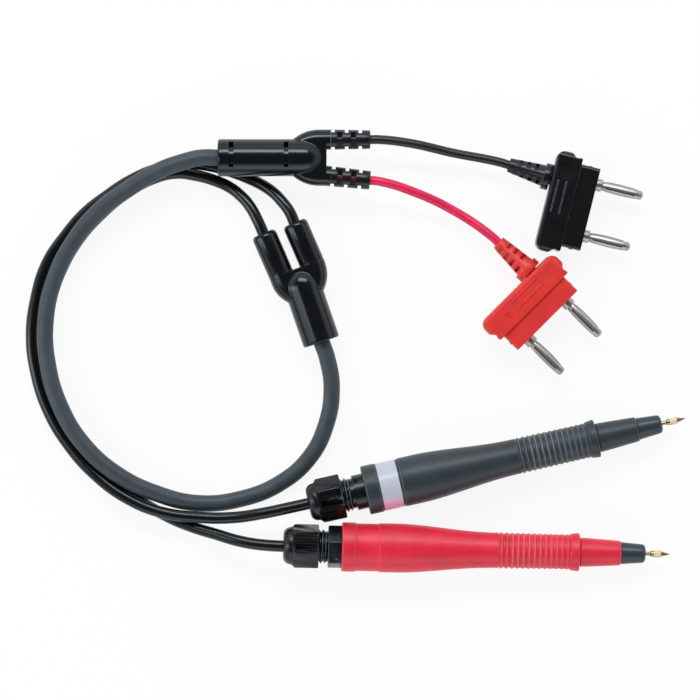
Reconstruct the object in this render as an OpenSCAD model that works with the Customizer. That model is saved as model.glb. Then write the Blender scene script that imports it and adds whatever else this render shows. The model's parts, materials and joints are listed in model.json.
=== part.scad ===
// Four-terminal test lead set: two pin-type probe pens on thin cables, a
// thick main cable with a junction at each end, and two dual banana plugs.
// Millimetres, +Z up. The origin is below the middle of the two pens, on
// the surface that they rest on.

/* [Gland nut and seal] */
// Length of the nut's domed rear end
nut_dome_len = 3.2; // [2.4:0.1:4.5]
// Radius of the dome's flat rear face
nut_face_r = 4.35; // [3.8:0.05:5]
// Radius of the dome where it meets the hexagon
nut_dome_r = 6.85; // [6.4:0.05:7.2]
// Length of the nut's hexagon
nut_hex_len = 9.5; // [7:0.5:12]
// Corner radius of the hexagon
nut_hex_r = 8.0; // [7.8:0.05:9]
// Corner chamfer at the hexagon's rear end
nut_chamfer = 1.1; // [0.4:0.1:1.5]
// Grip grooves on every second flat
nut_grooves = 7; // [4:1:7]
// Spacing of the grip grooves
nut_groove_pitch = 1.0; // [0.8:0.05:1.1]
// Depth of the grip grooves
nut_groove_depth = 0.25; // [0.1:0.05:0.35]
// Width of the grip grooves
nut_groove_w = 0.4; // [0.3:0.05:0.5]
// Length of the rubber seal inside the nut
seal_len = 6.8; // [5:0.1:8]
// Wall of the nut's domed end in front of the seal
nut_end_wall = 2.0; // [1.5:0.1:2.6]
// Distance from that wall to the seal
seal_lead = 0.9; // [0.6:0.1:1.2]

/* [Gland body] */
// Crest radius of the gland thread
thread_r = 6.1; // [5.9:0.05:6.2]
// Thread pitch
thread_pitch = 1.5; // [1:0.25:2]
// Thread depth
thread_depth = 0.7; // [0.4:0.1:0.9]
// Length of thread left in view between the nut and the collar
thread_show = 3.4; // [3:0.1:6]
// Length of thread inside the nut
thread_hidden = 5.7; // [4.5:0.1:6]
// Length of the collar
collar_len = 4.9; // [4:0.1:8]
// Corner radius of the hexagonal collar
collar_r = 8.05; // [7.6:0.05:8.5]
// Roll of the collar's hexagon on the pen
collar_roll = -14; // [-30:1:30]
// Length of the spigot inside the barrel
spigot_len = 5.0; // [3:0.5:8]
// Radius of the set screw
screw_r = 0.9; // [0.7:0.05:1.1]
// Length of the set screw
screw_len = 1.6; // [1.2:0.1:2]
// Depth of the screw's end below the collar's flat
screw_sunk = 0.5; // [0.2:0.1:0.8]
// Distance from the collar's rear end to the set screw
screw_place = 2.0; // [1.5:0.1:2.6]
// Roll of the grey pen's set screw
grey_screw_roll = -43; // [-180:1:180]
// Roll of the red pen's set screw
red_screw_roll = 30; // [-180:1:180]
// Length of cable jacket in front of the seal
jacket_end_len = 4.3; // [3:0.1:5]

/* [Barrel] */
// Length of the end ring
ring_len = 5.1; // [3:0.1:8]
// Radius of the end ring
ring_r = 8.86; // [8.5:0.02:9.2]
// Length of the recess for the label
recess_len = 8.2; // [6:0.1:14]
// Radius of the recess
recess_r = 8.55; // [8.2:0.05:8.7]
// Length of the belly in front of the recess
belly_len = 6.7; // [4:0.1:14]
// Radius of the belly
belly_r = 8.82; // [8.6:0.02:9.4]
// Length of the taper from the belly to the grip
taper_len = 36.4; // [26:0.2:46]
// Radius at the front end of the taper
waist_r = 6.35; // [6.2:0.05:6.8]
// Radius between the grip ribs
grip_root_r = 6.1; // [5.9:0.05:6.3]
// Number of grip ribs
grip_ribs = 13; // [8:1:16]
// Spacing of the grip ribs
grip_pitch = 1.99; // [1.7:0.01:2.4]
// Rib radius at the rear of the grip
rib_r_rear = 6.55; // [6.4:0.05:6.9]
// Rib radius at the front of the grip
rib_r_front = 6.3; // [6.25:0.05:6.8]
// Length of the flared ring at the barrel's front end
flare_len = 3.3; // [2.4:0.1:5]
// Radius of the flared ring
flare_r = 6.9; // [6.7:0.05:7.4]
// Bore radius of the barrel's rear half
bore_rear_r = 6.4; // [5.9:0.05:6.9]
// Bore radius of the barrel's front half
bore_front_r = 4.6; // [4.2:0.05:5]
// Width of the label band
label_len = 7.1; // [4:0.1:8]
// Thickness of the label band
label_t = 0.12; // [0.08:0.01:0.2]

/* [Nose] */
// Length of the neck between the barrel and the nose cone
neck_len = 0.4; // [0.2:0.1:1.5]
// Length of the nose cone
cone_len = 14.6; // [11:0.1:20]
// Radius at the rear of the nose cone
cone_rear_r = 5.26; // [5:0.02:5.8]
// Radius at the front of the nose cone
cone_front_r = 4.4; // [4.1:0.02:4.9]
// Length of the nose tip in view
tip_len = 8.9; // [6:0.1:12]
// Radius at the rear of the nose tip
tip_rear_r = 3.96; // [3.7:0.02:4.08]
// Radius at the front of the nose tip
tip_front_r = 3.38; // [3:0.02:3.6]
// Rounding of the nose tip's front edge
tip_round = 1.4; // [0.6:0.1:1.8]
// Radius of the tip's stem inside the cone
tip_stem_r = 3.2; // [2.8:0.05:3.5]
// Length of the tip's stem inside the cone
tip_stem_len = 5.6; // [4:0.1:7]
// Length of the cone's spigot inside the barrel
cone_spigot_len = 10; // [7:0.5:12]

/* [Contact] */
// Radius of the sliding contact sleeve
sleeve_r = 0.74; // [0.7:0.02:0.9]
// Length of sleeve in view
sleeve_show = 1.8; // [1.7:0.1:3]
// Radius of the collar on the sleeve
sleeve_collar_r = 1.1; // [1:0.02:1.3]
// Length of the collar on the sleeve
sleeve_collar_len = 1.2; // [0.8:0.1:2]
// Radius of the insulating ring
insulator_r = 1.33; // [1.25:0.01:1.5]
// Length of the insulating ring
insulator_len = 2.6; // [2.2:0.1:3.5]
// Length of the needle's point in front of the ring
point_len = 3.3; // [2:0.1:5]
// Radius of the needle's head
point_r = 1.0; // [0.9:0.01:1.05]
// Radius of the needle's shaft
needle_r = 0.36; // [0.3:0.01:0.4]
// Travel of the sleeve into the nose
sleeve_travel = 1.5; // [0.8:0.1:1.6]
// Travel of the needle into the sleeve
needle_travel = 1.0; // [0.5:0.1:1]
// Radius of the flange that stops the sleeve
flange_r = 1.45; // [1.35:0.02:1.7]
// Wire radius of the sleeve's spring
spring_wire_r = 0.16; // [0.1:0.01:0.2]
// Turns of the sleeve's spring
spring_turns = 7; // [5:1:9]
// Length of the insulating carrier behind the nose
carrier_len = 15; // [10:1:24]
// Length of the carrier's boss inside the cone
carrier_boss_len = 8; // [6:0.5:9]
// Length of the sleeve's flange
flange_len = 1.5; // [1:0.1:2]
// Length of the sleeve's tail inside the carrier
sleeve_tail_len = 5; // [3:0.5:7]
// Length of the sleeve inside the insulating ring
ring_seat_len = 0.5; // [0.4:0.05:0.8]
// Length of the needle's piston
piston_len = 2; // [1.5:0.1:2.5]
// Wall at the front of the piston's chamber, behind the nose tip's rear edge
piston_stop = 0.6; // [0.4:0.1:1]
// Radius of a solder lug
lug_r = 0.5; // [0.4:0.05:0.6]
// Length of a solder lug
lug_len = 9; // [7:0.5:12]
// Length of a solder lug inside the carrier
lug_hold = 3; // [2:0.5:5]
// Sideways place of each solder lug
lug_side = 1.2; // [1.1:0.05:1.4]

/* [Banana plugs] */
// Spacing of the two pins
pin_spacing = 19.05; // [19.05]
// Radius of the spring leaves at their widest
cage_r = 2.0; // [1.9:0.01:2.1]
// Length of a pin in front of the block
pin_len = 17.3; // [14:0.1:20]
// Radius of the collar at the pin's root
pin_collar_r = 2.3; // [2.15:0.05:2.8]
// Length of the collar at the pin's root
pin_collar_len = 2.2; // [1:0.1:3]
// Depth of the collar's seat in the block
pin_collar_sunk = 0.6; // [0.3:0.1:1]
// Length of the rounded head at the pin's end
pin_head_len = 1.6; // [1.2:0.1:2]
// Width of the slots between the spring leaves
leaf_slot_w = 0.4; // [0.3:0.05:0.5]
// Radius of the pin's core
pin_core_r = 1.3; // [1.1:0.02:1.4]
// Width of the front block
block_w = 30.2; // [28:0.1:33]
// Thickness of the front block
block_t = 11; // [9:0.1:12]
// Depth of the front block in view
block_len = 7.0; // [5:0.1:9]
// Width at the rear of the shell
shell_rear_w = 36.7; // [34:0.1:40]
// Width at the front of the shell
shell_front_w = 34.2; // [33:0.1:36]
// Thickness of the shell
shell_t = 13; // [12.2:0.1:15]
// Depth of the shell
shell_len = 9.3; // [8:0.1:14]
// Wall of the shell
shell_wall = 1.8; // [1.2:0.1:2.2]
// Rounding of the shell's rear corners
shell_round = 3.2; // [2:0.1:4]
// Step from the front block to its tongue inside the shell
tongue_step = 1.2; // [1:0.1:1.6]
// Room for the wires behind the tongue
wire_room = 2.2; // [1.8:0.1:3]
// Length of the two raised ridges on the shell
ridge_len = 11.9; // [6:0.1:14]
// Height of the raised ridges
ridge_h = 0.35; // [0.2:0.05:0.6]
// Length of a plug's strain relief
plug_boot_len = 16.0; // [12:0.5:22]
// Radius of a plug's strain relief at the shell
plug_boot_root_r = 4.8; // [4.2:0.1:5.4]
// Radius of a plug's strain relief at the lead
plug_boot_tip_r = 2.6; // [2.3:0.05:3]
// Sideways place of the strain relief on the shell
plug_boot_side = 7.9; // [6:0.1:9]
// Length of a plug strain relief's plain root
plug_boot_root_len = 2.6; // [1.5:0.1:4]
// Distance from a plug strain relief's root to its first window
plug_boot_first = 4.2; // [3.5:0.1:5]
// Spacing of a plug strain relief's windows
plug_boot_pitch = 3.0; // [2.4:0.1:3.6]

/* [Junctions] */
// Length of the plug junction's round body
pj_len = 38.6; // [36:0.1:40]
// Length of the plug junction's rounded end
pj_end_len = 9.0; // [6:0.5:12]
// Radius of the plug junction's round body
pj_r = 6.7; // [6.3:0.05:7]
// Length of the plug junction up to its two outlets
pj_web_len = 39.1; // [38:0.1:46]
// Length of the outlets in front of the web
pj_outlet_len = 1.5; // [1:0.1:3]
// Sideways place of each outlet
pj_side = 6.5; // [5:0.1:8]
// Radius of each outlet
pj_outlet_r = 3.65; // [3.2:0.05:4]
// Length of the junction's strain reliefs
pj_boot_len = 14.2; // [10:0.5:18]
// Radius of a junction strain relief at its tip
pj_boot_tip_r = 3.05; // [2.6:0.05:3.4]
// Distance from a junction strain relief's root to its first notch
pj_boot_first = 0.8; // [0.7:0.05:1.5]
// Spacing of a junction strain relief's notches
pj_boot_pitch = 4.9; // [4:0.1:5.2]
// Width of a notch at the side
pj_boot_notch = 1.25; // [1:0.05:1.6]
// Height of a junction strain relief's notches
pj_boot_window_h = 5.2; // [3.6:0.1:5.6]
// Place where the two outlet arms start inside the body
pj_arms_start = 24; // [22:0.5:27]
// Place of the rear groove
pj_groove_rear = 4.9; // [3:0.1:8]
// Place of the front groove
pj_groove_front = 24.6; // [20:0.1:27]
// Width of the two grooves
pj_groove_w = 1.7; // [1:0.1:2.4]
// Depth of the two grooves
pj_groove_depth = 1.6; // [0.6:0.1:2]
// Upper end of the two grooves, sideways
pj_groove_top = 5.6; // [3:0.1:6]
// Lower end of the two grooves, sideways
pj_groove_bottom = -3.6; // [-6:0.1:-2]
// Length of the pen junction's round body
nj_len = 28.3; // [26:0.1:30]
// Length of the pen junction's rounded end
nj_end_len = 7.4; // [5:0.1:10]
// Radius of the pen junction's round body
nj_r = 6.75; // [6.4:0.05:7]
// Length of the pen junction up to the sleeves' seam
nj_seam_len = 28.7; // [26:0.1:34]
// Length of the two outlet sleeves
nj_sleeve_len = 15.3; // [10:0.1:20]
// Turn of the two sleeves against the body
nj_sleeve_turn = 4.5; // [0:0.5:8]
// Sideways place of each sleeve
nj_side = 5.9; // [5:0.1:7]
// Radius of each sleeve
nj_sleeve_r = 4.57; // [4.2:0.05:5]
// Depth of the bore that holds a cable in a sleeve
nj_sleeve_bore = 3; // [2:0.5:6]
// Place where the two outlet arms start inside the body
nj_arms_start = 15.3; // [13:0.1:18]
// How soon an outlet arm swings out to its side
arm_swing = 2.4; // [1.8:0.1:3]
// Length of a splice ferrule
splice_len = 9; // [6:1:12]
// Radius of a splice ferrule
splice_r = 1.2; // [0.9:0.05:1.6]
// Sideways place of a splice ferrule
splice_side = 2.4; // [1.8:0.1:3]
// Place of the ferrules in the plug junction
pj_splice = 12; // [8:1:16]
// Place of the ferrules in the pen junction
nj_splice = 9; // [6:1:12]

/* [Cables] */
// Diameter of the main cable
main_d = 6.0; // [5:0.1:6.4]
// Diameter of the two pen cables
thin_d = 4.2; // [3.6:0.1:4.2]
// Diameter of the two plug leads
lead_d = 3.3; // [2.8:0.1:3.6]
// Radius of an insulated wire inside
wire_r = 0.6; // [0.4:0.05:0.7]

/* [Fits] */
// Running clearance of the contact parts
run_gap = 0.06; // [0.04:0.01:0.08]
// Clearance between pieces that are seated
seat_gap = 0.05; // [0.03:0.01:0.1]
// Clearance between the nut's bore and the thread crests
thread_gap = 0.15; // [0.1:0.01:0.2]
// Clearance around a cable in a bore
cable_gap = 0.3; // [0.2:0.05:0.5]

/* [Hidden] */
$fn = 64;

// Colours
GREY = [0.21, 0.24, 0.27];
RED = [0.83, 0.12, 0.20];
VERMILION = [0.84, 0.18, 0.16];
BLACK = [0.07, 0.08, 0.09];
TIP_BLUE = [0.21, 0.27, 0.32];
NICKEL = [0.78, 0.77, 0.75];
BRASS = [0.62, 0.54, 0.38];
CREAM = [0.86, 0.78, 0.66];
WHITE = [0.88, 0.88, 0.92];
CRIMSON = [0.85, 0.10, 0.30];
RUBBER = [0.20, 0.21, 0.22];

// Stations along a pen, from the nut's rear face towards the point
x_hex = nut_dome_len;
x_nut_end = x_hex + nut_hex_len;
x_collar = x_nut_end + thread_show;
x_barrel = x_collar + collar_len;
x_recess = x_barrel + ring_len;
x_belly = x_recess + recess_len;
x_taper = x_belly + belly_len;
x_grip = x_taper + taper_len;
x_flare = x_grip + grip_ribs*grip_pitch;
x_barrel_end = x_flare + flare_len;
x_cone = x_barrel_end + neck_len;
x_tip = x_cone + cone_len;
x_tip_end = x_tip + tip_len;
x_sleeve_collar = x_tip_end + sleeve_show;
x_insulator = x_sleeve_collar + sleeve_collar_len;
x_point = x_insulator + insulator_len;
x_thread = x_nut_end - thread_hidden;
x_seal = nut_end_wall + seal_lead;
x_cable_end = x_seal + seal_len + jacket_end_len;
x_stem = x_tip - tip_stem_len;
x_carrier_end = x_cone - cone_spigot_len;
x_carrier = x_carrier_end - carrier_len;
x_boss_end = x_carrier_end + carrier_boss_len;
x_flange = x_stem - seat_gap - flange_len;
x_sleeve_tail = x_carrier_end - sleeve_tail_len;
x_piston_stop = x_tip - piston_stop;
x_piston = x_piston_stop - seat_gap - piston_len;
x_lug = x_carrier - lug_len + lug_hold;
taper_steps = 12;
taper_skew = 0.9;

// Bores
cable_bore_r = thin_d/2 + cable_gap;
seal_bore_r = thin_d/2 + 0.1;
seal_r = thread_r - thread_depth - 0.9;
seal_pocket_r = seal_r + 0.2;
chamber_r = flange_r + 0.35;
needle_chamber_r = needle_r + 0.2;

// Outline of the barrel, as [distance from the nut's rear face, radius]
function taper_r(t) = waist_r + (belly_r - waist_r)*(1 + cos(180*pow(t, taper_skew)))/2;
function rib_r(i) = rib_r_rear + (rib_r_front - rib_r_rear)*i/(grip_ribs - 1);
barrel_outline = concat(
    [[x_barrel, ring_r - 0.3], [x_barrel + 0.3, ring_r], [x_recess - 0.2, ring_r]],
    [[x_recess, recess_r], [x_belly, recess_r], [x_belly + 0.15, belly_r - 0.03]],
    [[x_belly + 2.4, belly_r]],
    [for (i = [0:taper_steps])
        [x_taper + taper_len*i/taper_steps, taper_r(i/taper_steps)]],
    [for (i = [0:grip_ribs - 1], p = [[0.1, 0], [0.3, 0.8], [0.5, 1], [0.7, 0.8], [0.9, 0]])
        [x_grip + (i + p.x)*grip_pitch, grip_root_r + (rib_r(i) - grip_root_r)*p.y]],
    [[x_flare, grip_root_r + 0.3], [x_flare + 0.3, rib_r_front + 0.27]],
    [[x_barrel_end - 0.5, flare_r], [x_barrel_end, flare_r - 0.35]]
);

// A pen lies on its belly and its flared ring, so its nose dips a little.
pen_dip = atan((belly_r - flare_r)/(x_barrel_end - 0.5 - x_taper));
pen_rear_z = max([for (p = barrel_outline) p.y*cos(pen_dip) + p.x*sin(pen_dip)]);
// Each place is [x, y, z, turn about +Z, dip of the nose, roll about its own axis].
grey_pen = [-63.4, -3.4, pen_rear_z, 12.7, pen_dip, 30];
red_pen = [-72.4, -18.5, pen_rear_z, -1.36, pen_dip, 17];
black_plug = [38.0, 102.2, shell_t/2, -14, 0, 0];
red_plug = [22.7, 62.5, shell_t/2, -45, 0, 0];
plug_junction_place = [-95.9, 120.9, pj_r + 4.1, 0, 0, 0];
pen_junction_place = [-58.6, 54.6, nj_r, 109, 0, 0];
black_plug_boot_turn = -3;
red_plug_boot_turn = 2;
pj_red_boot_turn = -6;

module put(place) {
    translate([place[0], place[1], place[2]])
        rotate([0, 0, place[3]])
            rotate([0, place[4], 0])
                rotate([place[5], 0, 0])
                    children();
}

// Point p of a piece's own frame, in the set's frame; a roll leaves the axis alone.
function placed(place, p) =
    let (x = p.x*cos(place[4]) + p.z*sin(place[4]), z = p.z*cos(place[4]) - p.x*sin(place[4]))
    [place.x + x*cos(place[3]) - p.y*sin(place[3]),
     place.y + x*sin(place[3]) + p.y*cos(place[3]),
     place.z + z];

// Free stretches of the cables between their straight ends, as points in the set's frame
main_route = [
    [-108, 119.5, 11.4], [-117.5, 116, 11.8], [-127.5, 110, 11.3], [-138.5, 102, 10],
    [-147.5, 91.5, 8.6], [-154.5, 78, 7.8], [-158, 62.5, 7.7], [-157.2, 46.5, 7.7],
    [-152.5, 31, 7.7], [-144.5, 18, 7.8], [-132.5, 7.2, 7.3], [-118, 0, 5.4],
    [-103, -3.5, 3.7], [-88, -2, 3.1], [-74, 3.5, 3.1], [-63, 13, 3.1], [-57, 25, 3.1],
    [-55, 38, 4.2]
];
red_pen_route = [
    [-84.5, 103.6, 5.9], [-88, 107.6, 4.4], [-92.3, 110.8, 3.1], [-97.3, 113, 2.7],
    [-104, 114.8, 3.8], [-111.5, 115.5, 5.9], [-119.5, 113.5, 6.2], [-128, 109, 5.6], [-138, 101, 4.3],
    [-146.5, 91.5, 3], [-153, 80, 2.4], [-157, 68, 2.2], [-158, 55.5, 2.2],
    [-156, 42.5, 2.2], [-151.5, 30, 2.2], [-145.5, 19, 2.2], [-137.5, 9.5, 2.2],
    [-126.5, -1, 2.2], [-114, -8.5, 2.5], [-105.5, -12, 3.8], [-97, -14.5, 6.2],
    [-88, -17, 9]
];
grey_pen_route = [
    [-73, 105.4, 5.9], [-76.3, 108.8, 4.4], [-80.3, 111.5, 3.1], [-84.6, 113.6, 2.4],
    [-89.8, 115.7, 2.2],
    [-97.5, 118, 2.2], [-106, 119, 2.2], [-117, 117.5, 2.2], [-127, 113.5, 2.2],
    [-137, 107, 2.2], [-144, 101.5, 2.2], [-151, 93.5, 2.2], [-158, 83, 2.2],
    [-162, 70, 2.2], [-163.5, 57, 2.2], [-162, 44, 2.3], [-157.5, 30, 2.8],
    [-150, 17.5, 4], [-140, 6.5, 5.6], [-129, -1.5, 6.6], [-117, -6.5, 6.9],
    [-102.5, -8.5, 7], [-90, -8.5, 8], [-80, -7, 9.6]
];
black_lead_route = [[-26, 126, 9.7], [-11.5, 122.8, 7.4]];
red_lead_route = [[-25, 108.5, 9], [-11, 102, 5.8]];
main_points = concat(
    [placed(plug_junction_place, [0, 0, 0]), placed(plug_junction_place, [-main_d, 0, 0])],
    main_route,
    [placed(pen_junction_place, [-main_d, 0, 0]), placed(pen_junction_place, [0, 0, 0])]
);
red_pen_points = concat(outlet(nj_side), red_pen_route, gland_end(red_pen));
grey_pen_points = concat(outlet(-nj_side), grey_pen_route, gland_end(grey_pen));
black_lead_points = concat(
    boot_tip(plug_junction_place, pj_web_len, pj_side, 0, pj_outlet_len + pj_boot_len, lead_d),
    black_lead_route,
    plug_end(black_plug, black_plug_boot_turn)
);
red_lead_points = concat(
    boot_tip(plug_junction_place, pj_web_len, -pj_side, pj_red_boot_turn,
        pj_outlet_len + pj_boot_len, lead_d),
    red_lead_route,
    plug_end(red_plug, red_plug_boot_turn)
);

// The straight first and last stretches of a cable
function outlet(side) =
    boot_tip(pen_junction_place, nj_seam_len, side, nj_sleeve_turn, nj_sleeve_len, thin_d);
function gland_end(pen) = [placed(pen, [-1.6*thin_d, 0, 0]), placed(pen, [x_cable_end, 0, 0])];
function boot_tip(place, x, side, turn, len, run) = [
    placed(place, [x + len*cos(turn), side + len*sin(turn), 0]),
    placed(place, [x + (len + run)*cos(turn), side + (len + run)*sin(turn), 0])
];
function plug_end(plug, turn) =
    let (ends = boot_tip(plug, -block_len - shell_len, plug_boot_side, turn + 180, plug_boot_len,
        lead_d))
    [ends[1], ends[0]];

// Solid of revolution about +X with the outline [[x, r], ...]
module lathe(outline) {
    rotate([0, 90, 0])
        rotate_extrude()
            polygon([for (p = outline) [p.y, p.x]]);
}

// The same from an open outline, closed along the axis
module turned(outline) {
    lathe(concat([[outline[0].x, 0]], outline, [[outline[len(outline) - 1].x, 0]]));
}

// Round bar along +X from x0 to x1
module bar(x0, x1, r) {
    translate([x0, 0, 0])
        rotate([0, 90, 0])
            cylinder(h = x1 - x0, r = r);
}

function unit(v) = v/norm(v);
function heading(p, i) = unit(p[min(i + 1, len(p) - 1)] - p[max(i - 1, 0)]);

// Tube swept along points, square to each stretch
module tube(points, r, sides) {
    rings = [for (i = [0:len(points) - 1])
        let (t = heading(points, i), u = unit(cross(t, [0, 0, 1])), v = cross(u, t))
        for (k = [0:sides - 1])
            points[i] + r*cos(360*(k + 0.5)/sides)*u + r*sin(360*(k + 0.5)/sides)*v];
    last = (len(points) - 1)*sides;
    polyhedron(
        points = rings,
        faces = concat(
            [[for (k = [0:sides - 1]) k]],
            [for (i = [0:len(points) - 2], k = [0:sides - 1])
                let (a = i*sides + k, b = i*sides + (k + 1)%sides)
                [a, a + sides, b + sides, b]],
            [[for (k = [sides - 1:-1:0]) last + k]]
        )
    );
}

// Coil spring about +X
module spring(x0, x1, coil_r, wire, turns) {
    steps = 8*turns;
    run = x1 - x0 - 2*wire;
    tube([for (i = [0:steps])
        [x0 + wire + run*i/steps, coil_r*cos(45*i), coil_r*sin(45*i)]], wire, 5);
}

// Rod that bends through the points, round at the corners
module wire_run(points) {
    for (i = [0:len(points) - 2]) {
        d = points[i + 1] - points[i];
        translate(points[i])
            rotate([0, acos(d.z/norm(d)), atan2(d.y, d.x)])
                cylinder(h = norm(d), r = wire_r);
    }
    for (i = [1:1:len(points) - 2])
        translate(points[i])
            sphere(r = wire_r);
}

// ---- Probe pens ----

module gland_nut() {
    color(BLACK)
        difference() {
            union() {
                turned([for (a = [0:15:90])
                    [x_hex*(1 - cos(a)*(a < 90 ? 1 : 0)),
                     nut_face_r + (nut_dome_r - nut_face_r)*sin(a)]]);
                difference() {
                    intersection() {
                        translate([x_hex, 0, 0])
                            rotate([0, 90, 0])
                                cylinder(h = nut_hex_len, r = nut_hex_r, $fn = 6);
                        turned([[x_hex, nut_hex_r - nut_chamfer],
                            [x_hex + nut_chamfer, nut_hex_r + 0.01],
                            [x_nut_end - 0.3, nut_hex_r + 0.01],
                            [x_nut_end, nut_hex_r - 0.3]]);
                    }
                    for (side = [1, 3, 5], i = [0:nut_grooves - 1])
                        rotate([30 + 60*side, 0, 0])
                            translate([x_hex + nut_chamfer,
                                (i - (nut_grooves - 1)/2)*nut_groove_pitch - nut_groove_w/2,
                                nut_hex_r*cos(30) - nut_groove_depth])
                                cube([nut_hex_len - nut_chamfer - 0.6, nut_groove_w, 1]);
                }
            }
            bar(-1, nut_end_wall + 1, cable_bore_r);
            turned([[nut_end_wall, cable_bore_r + 0.5], [x_seal + 1.6, seal_pocket_r],
                [x_thread - 0.6, seal_pocket_r], [x_thread - 0.6, thread_r + thread_gap],
                [x_nut_end + 1, thread_r + thread_gap]]);
        }
}

module gland_seal() {
    color(RUBBER)
        difference() {
            turned([[x_seal, seal_r - 1.6], [x_seal + 1.6, seal_r],
                [x_seal + seal_len, seal_r]]);
            bar(x_seal - 1, x_seal + seal_len + 1, seal_bore_r);
        }
}

// Body and set screw are rolled on their own, so they undo their pen's roll first.
module gland_body(pen, screw_roll) {
    color(BLACK)
        difference() {
            union() {
                turned(concat(
                    [for (x = [x_thread:thread_pitch:x_collar - 0.8*thread_pitch],
                          p = [[0.2, 0], [0.45, 1], [0.65, 1], [0.9, 0]])
                        [x + p.x*thread_pitch, thread_r - thread_depth*(1 - p.y)]],
                    [[x_collar + 1, thread_r - thread_depth],
                     [x_collar + 1, bore_rear_r - seat_gap],
                     [x_barrel + spigot_len, bore_rear_r - seat_gap]]
                ));
                rotate([collar_roll - pen[5], 0, 0])
                    intersection() {
                        translate([x_collar, 0, 0])
                            rotate([0, 90, 0])
                                cylinder(h = collar_len - seat_gap, r = collar_r, $fn = 6);
                        turned([[x_collar, collar_r - 0.5], [x_collar + 0.5, collar_r + 0.01],
                            [x_barrel, collar_r + 0.01]]);
                    }
            }
            bar(x_thread - 1, x_seal + seal_len + 0.3, seal_pocket_r);
            bar(x_thread, x_cable_end, thin_d/2 + 0.1);
            bar(x_thread, x_barrel + spigot_len + 1, lug_side + wire_r + 0.1);
            set_screw_axis(pen, screw_roll)
                cylinder(h = collar_r, r = screw_r + seat_gap);
        }
}

module set_screw_axis(pen, screw_roll) {
    rotate([screw_roll - pen[5], 0, 0])
        translate([x_collar + screw_place, 0, collar_r*cos(30) - screw_sunk - screw_len])
            children();
}

module set_screw(pen, screw_roll) {
    color(BLACK)
        set_screw_axis(pen, screw_roll)
            difference() {
                cylinder(h = screw_len, r = screw_r);
                translate([0, 0, screw_len/2])
                    cylinder(h = screw_len, r = screw_r/2, $fn = 6);
            }
}

module barrel(paint) {
    color(paint)
        difference() {
            turned(barrel_outline);
            turned([[x_barrel - 1, bore_rear_r], [x_taper + taper_len*0.25, bore_rear_r],
                [x_taper + taper_len*0.6, bore_front_r], [x_barrel_end + 1, bore_front_r]]);
        }
}

module label_band() {
    color(WHITE)
        difference() {
            bar(x_recess + 0.3, x_recess + 0.3 + label_len, recess_r + label_t);
            bar(x_recess, x_recess + 1 + label_len, recess_r);
        }
}

module nose_cone(paint) {
    rise = cone_rear_r - cone_front_r;
    color(paint)
        difference() {
            turned(concat(
                [[x_carrier_end, bore_front_r - seat_gap],
                 [x_cone - 0.1, bore_front_r - seat_gap], [x_cone, cone_rear_r - 0.15]],
                [for (t = [0.02, 0.2, 0.4, 0.6, 0.8])
                    [x_cone + cone_len*t, cone_rear_r - rise*pow(t, 1.15)]],
                [[x_tip - 0.4, cone_front_r + 0.02], [x_tip, cone_front_r - 0.3]]
            ));
            bar(x_carrier_end - 1, x_stem + 0.1, chamber_r);
            bar(x_stem, x_tip + 1, tip_stem_r + seat_gap);
        }
}

module nose_tip() {
    arc_x = x_tip_end - tip_round;
    arc_r = tip_front_r - tip_round;
    color(TIP_BLUE)
        difference() {
            turned(concat(
                [[x_stem + seat_gap, tip_stem_r], [x_tip + seat_gap, tip_stem_r],
                 [x_tip + seat_gap, tip_rear_r - 0.1], [x_tip + 0.3, tip_rear_r]],
                [for (a = [90:-15:0]) [arc_x + tip_round*cos(a), arc_r + tip_round*sin(a)]]
            ));
            bar(x_stem - 1, x_tip_end + 1, sleeve_r + run_gap);
        }
}

module contact_carrier() {
    color(CREAM)
        difference() {
            union() {
                bar(x_carrier, x_carrier_end - seat_gap, bore_front_r - seat_gap);
                bar(x_carrier_end - 1, x_boss_end, chamber_r - seat_gap);
            }
            bar(x_sleeve_tail - sleeve_travel - 0.5, x_boss_end + 1, sleeve_r + run_gap);
            for (side = [-1, 1])
                translate([0, side*lug_side, 0])
                    bar(x_carrier - 1, x_lug + lug_len, lug_r);
        }
}

module solder_lugs() {
    color(BRASS)
        for (side = [-1, 1])
            translate([0, side*lug_side, 0])
                bar(x_lug, x_lug + lug_len, lug_r);
}

module core_wires() {
    color(CREAM)
        for (side = [-1, 1])
            translate([0, side*lug_side, 0])
                bar(x_cable_end, x_lug, wire_r);
}

module contact_sleeve() {
    color(BRASS)
        difference() {
            turned([[x_sleeve_tail, sleeve_r], [x_flange, sleeve_r], [x_flange, flange_r],
                [x_flange + flange_len, flange_r], [x_flange + flange_len, sleeve_r],
                [x_sleeve_collar, sleeve_r], [x_sleeve_collar + 0.2, sleeve_collar_r],
                [x_insulator, sleeve_collar_r], [x_insulator, sleeve_r],
                [x_insulator + ring_seat_len, sleeve_r]]);
            bar(x_flange + flange_len, x_insulator + 1, needle_r + run_gap);
            bar(x_boss_end, x_piston_stop, needle_chamber_r);
        }
}

module contact_insulator() {
    color(CREAM)
        difference() {
            turned([[x_insulator, insulator_r - 0.2], [x_insulator + 0.25, insulator_r],
                [x_point - 0.25, insulator_r], [x_point, insulator_r - 0.2]]);
            bar(x_insulator - 1, x_insulator + ring_seat_len + 0.2, sleeve_r);
            bar(x_insulator + ring_seat_len, x_point + 1, point_r + run_gap);
        }
}

module contact_needle() {
    head_x = x_insulator + ring_seat_len + needle_travel + 0.1;
    piston_end = x_piston + piston_len;
    color(BRASS)
        turned([[x_piston, needle_chamber_r - run_gap], [piston_end, needle_chamber_r - run_gap],
            [piston_end, needle_r], [head_x, needle_r], [head_x, point_r],
            [x_point, point_r], [x_point + point_len - 0.15, 0.12],
            [x_point + point_len, 0.04]]);
}

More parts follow.
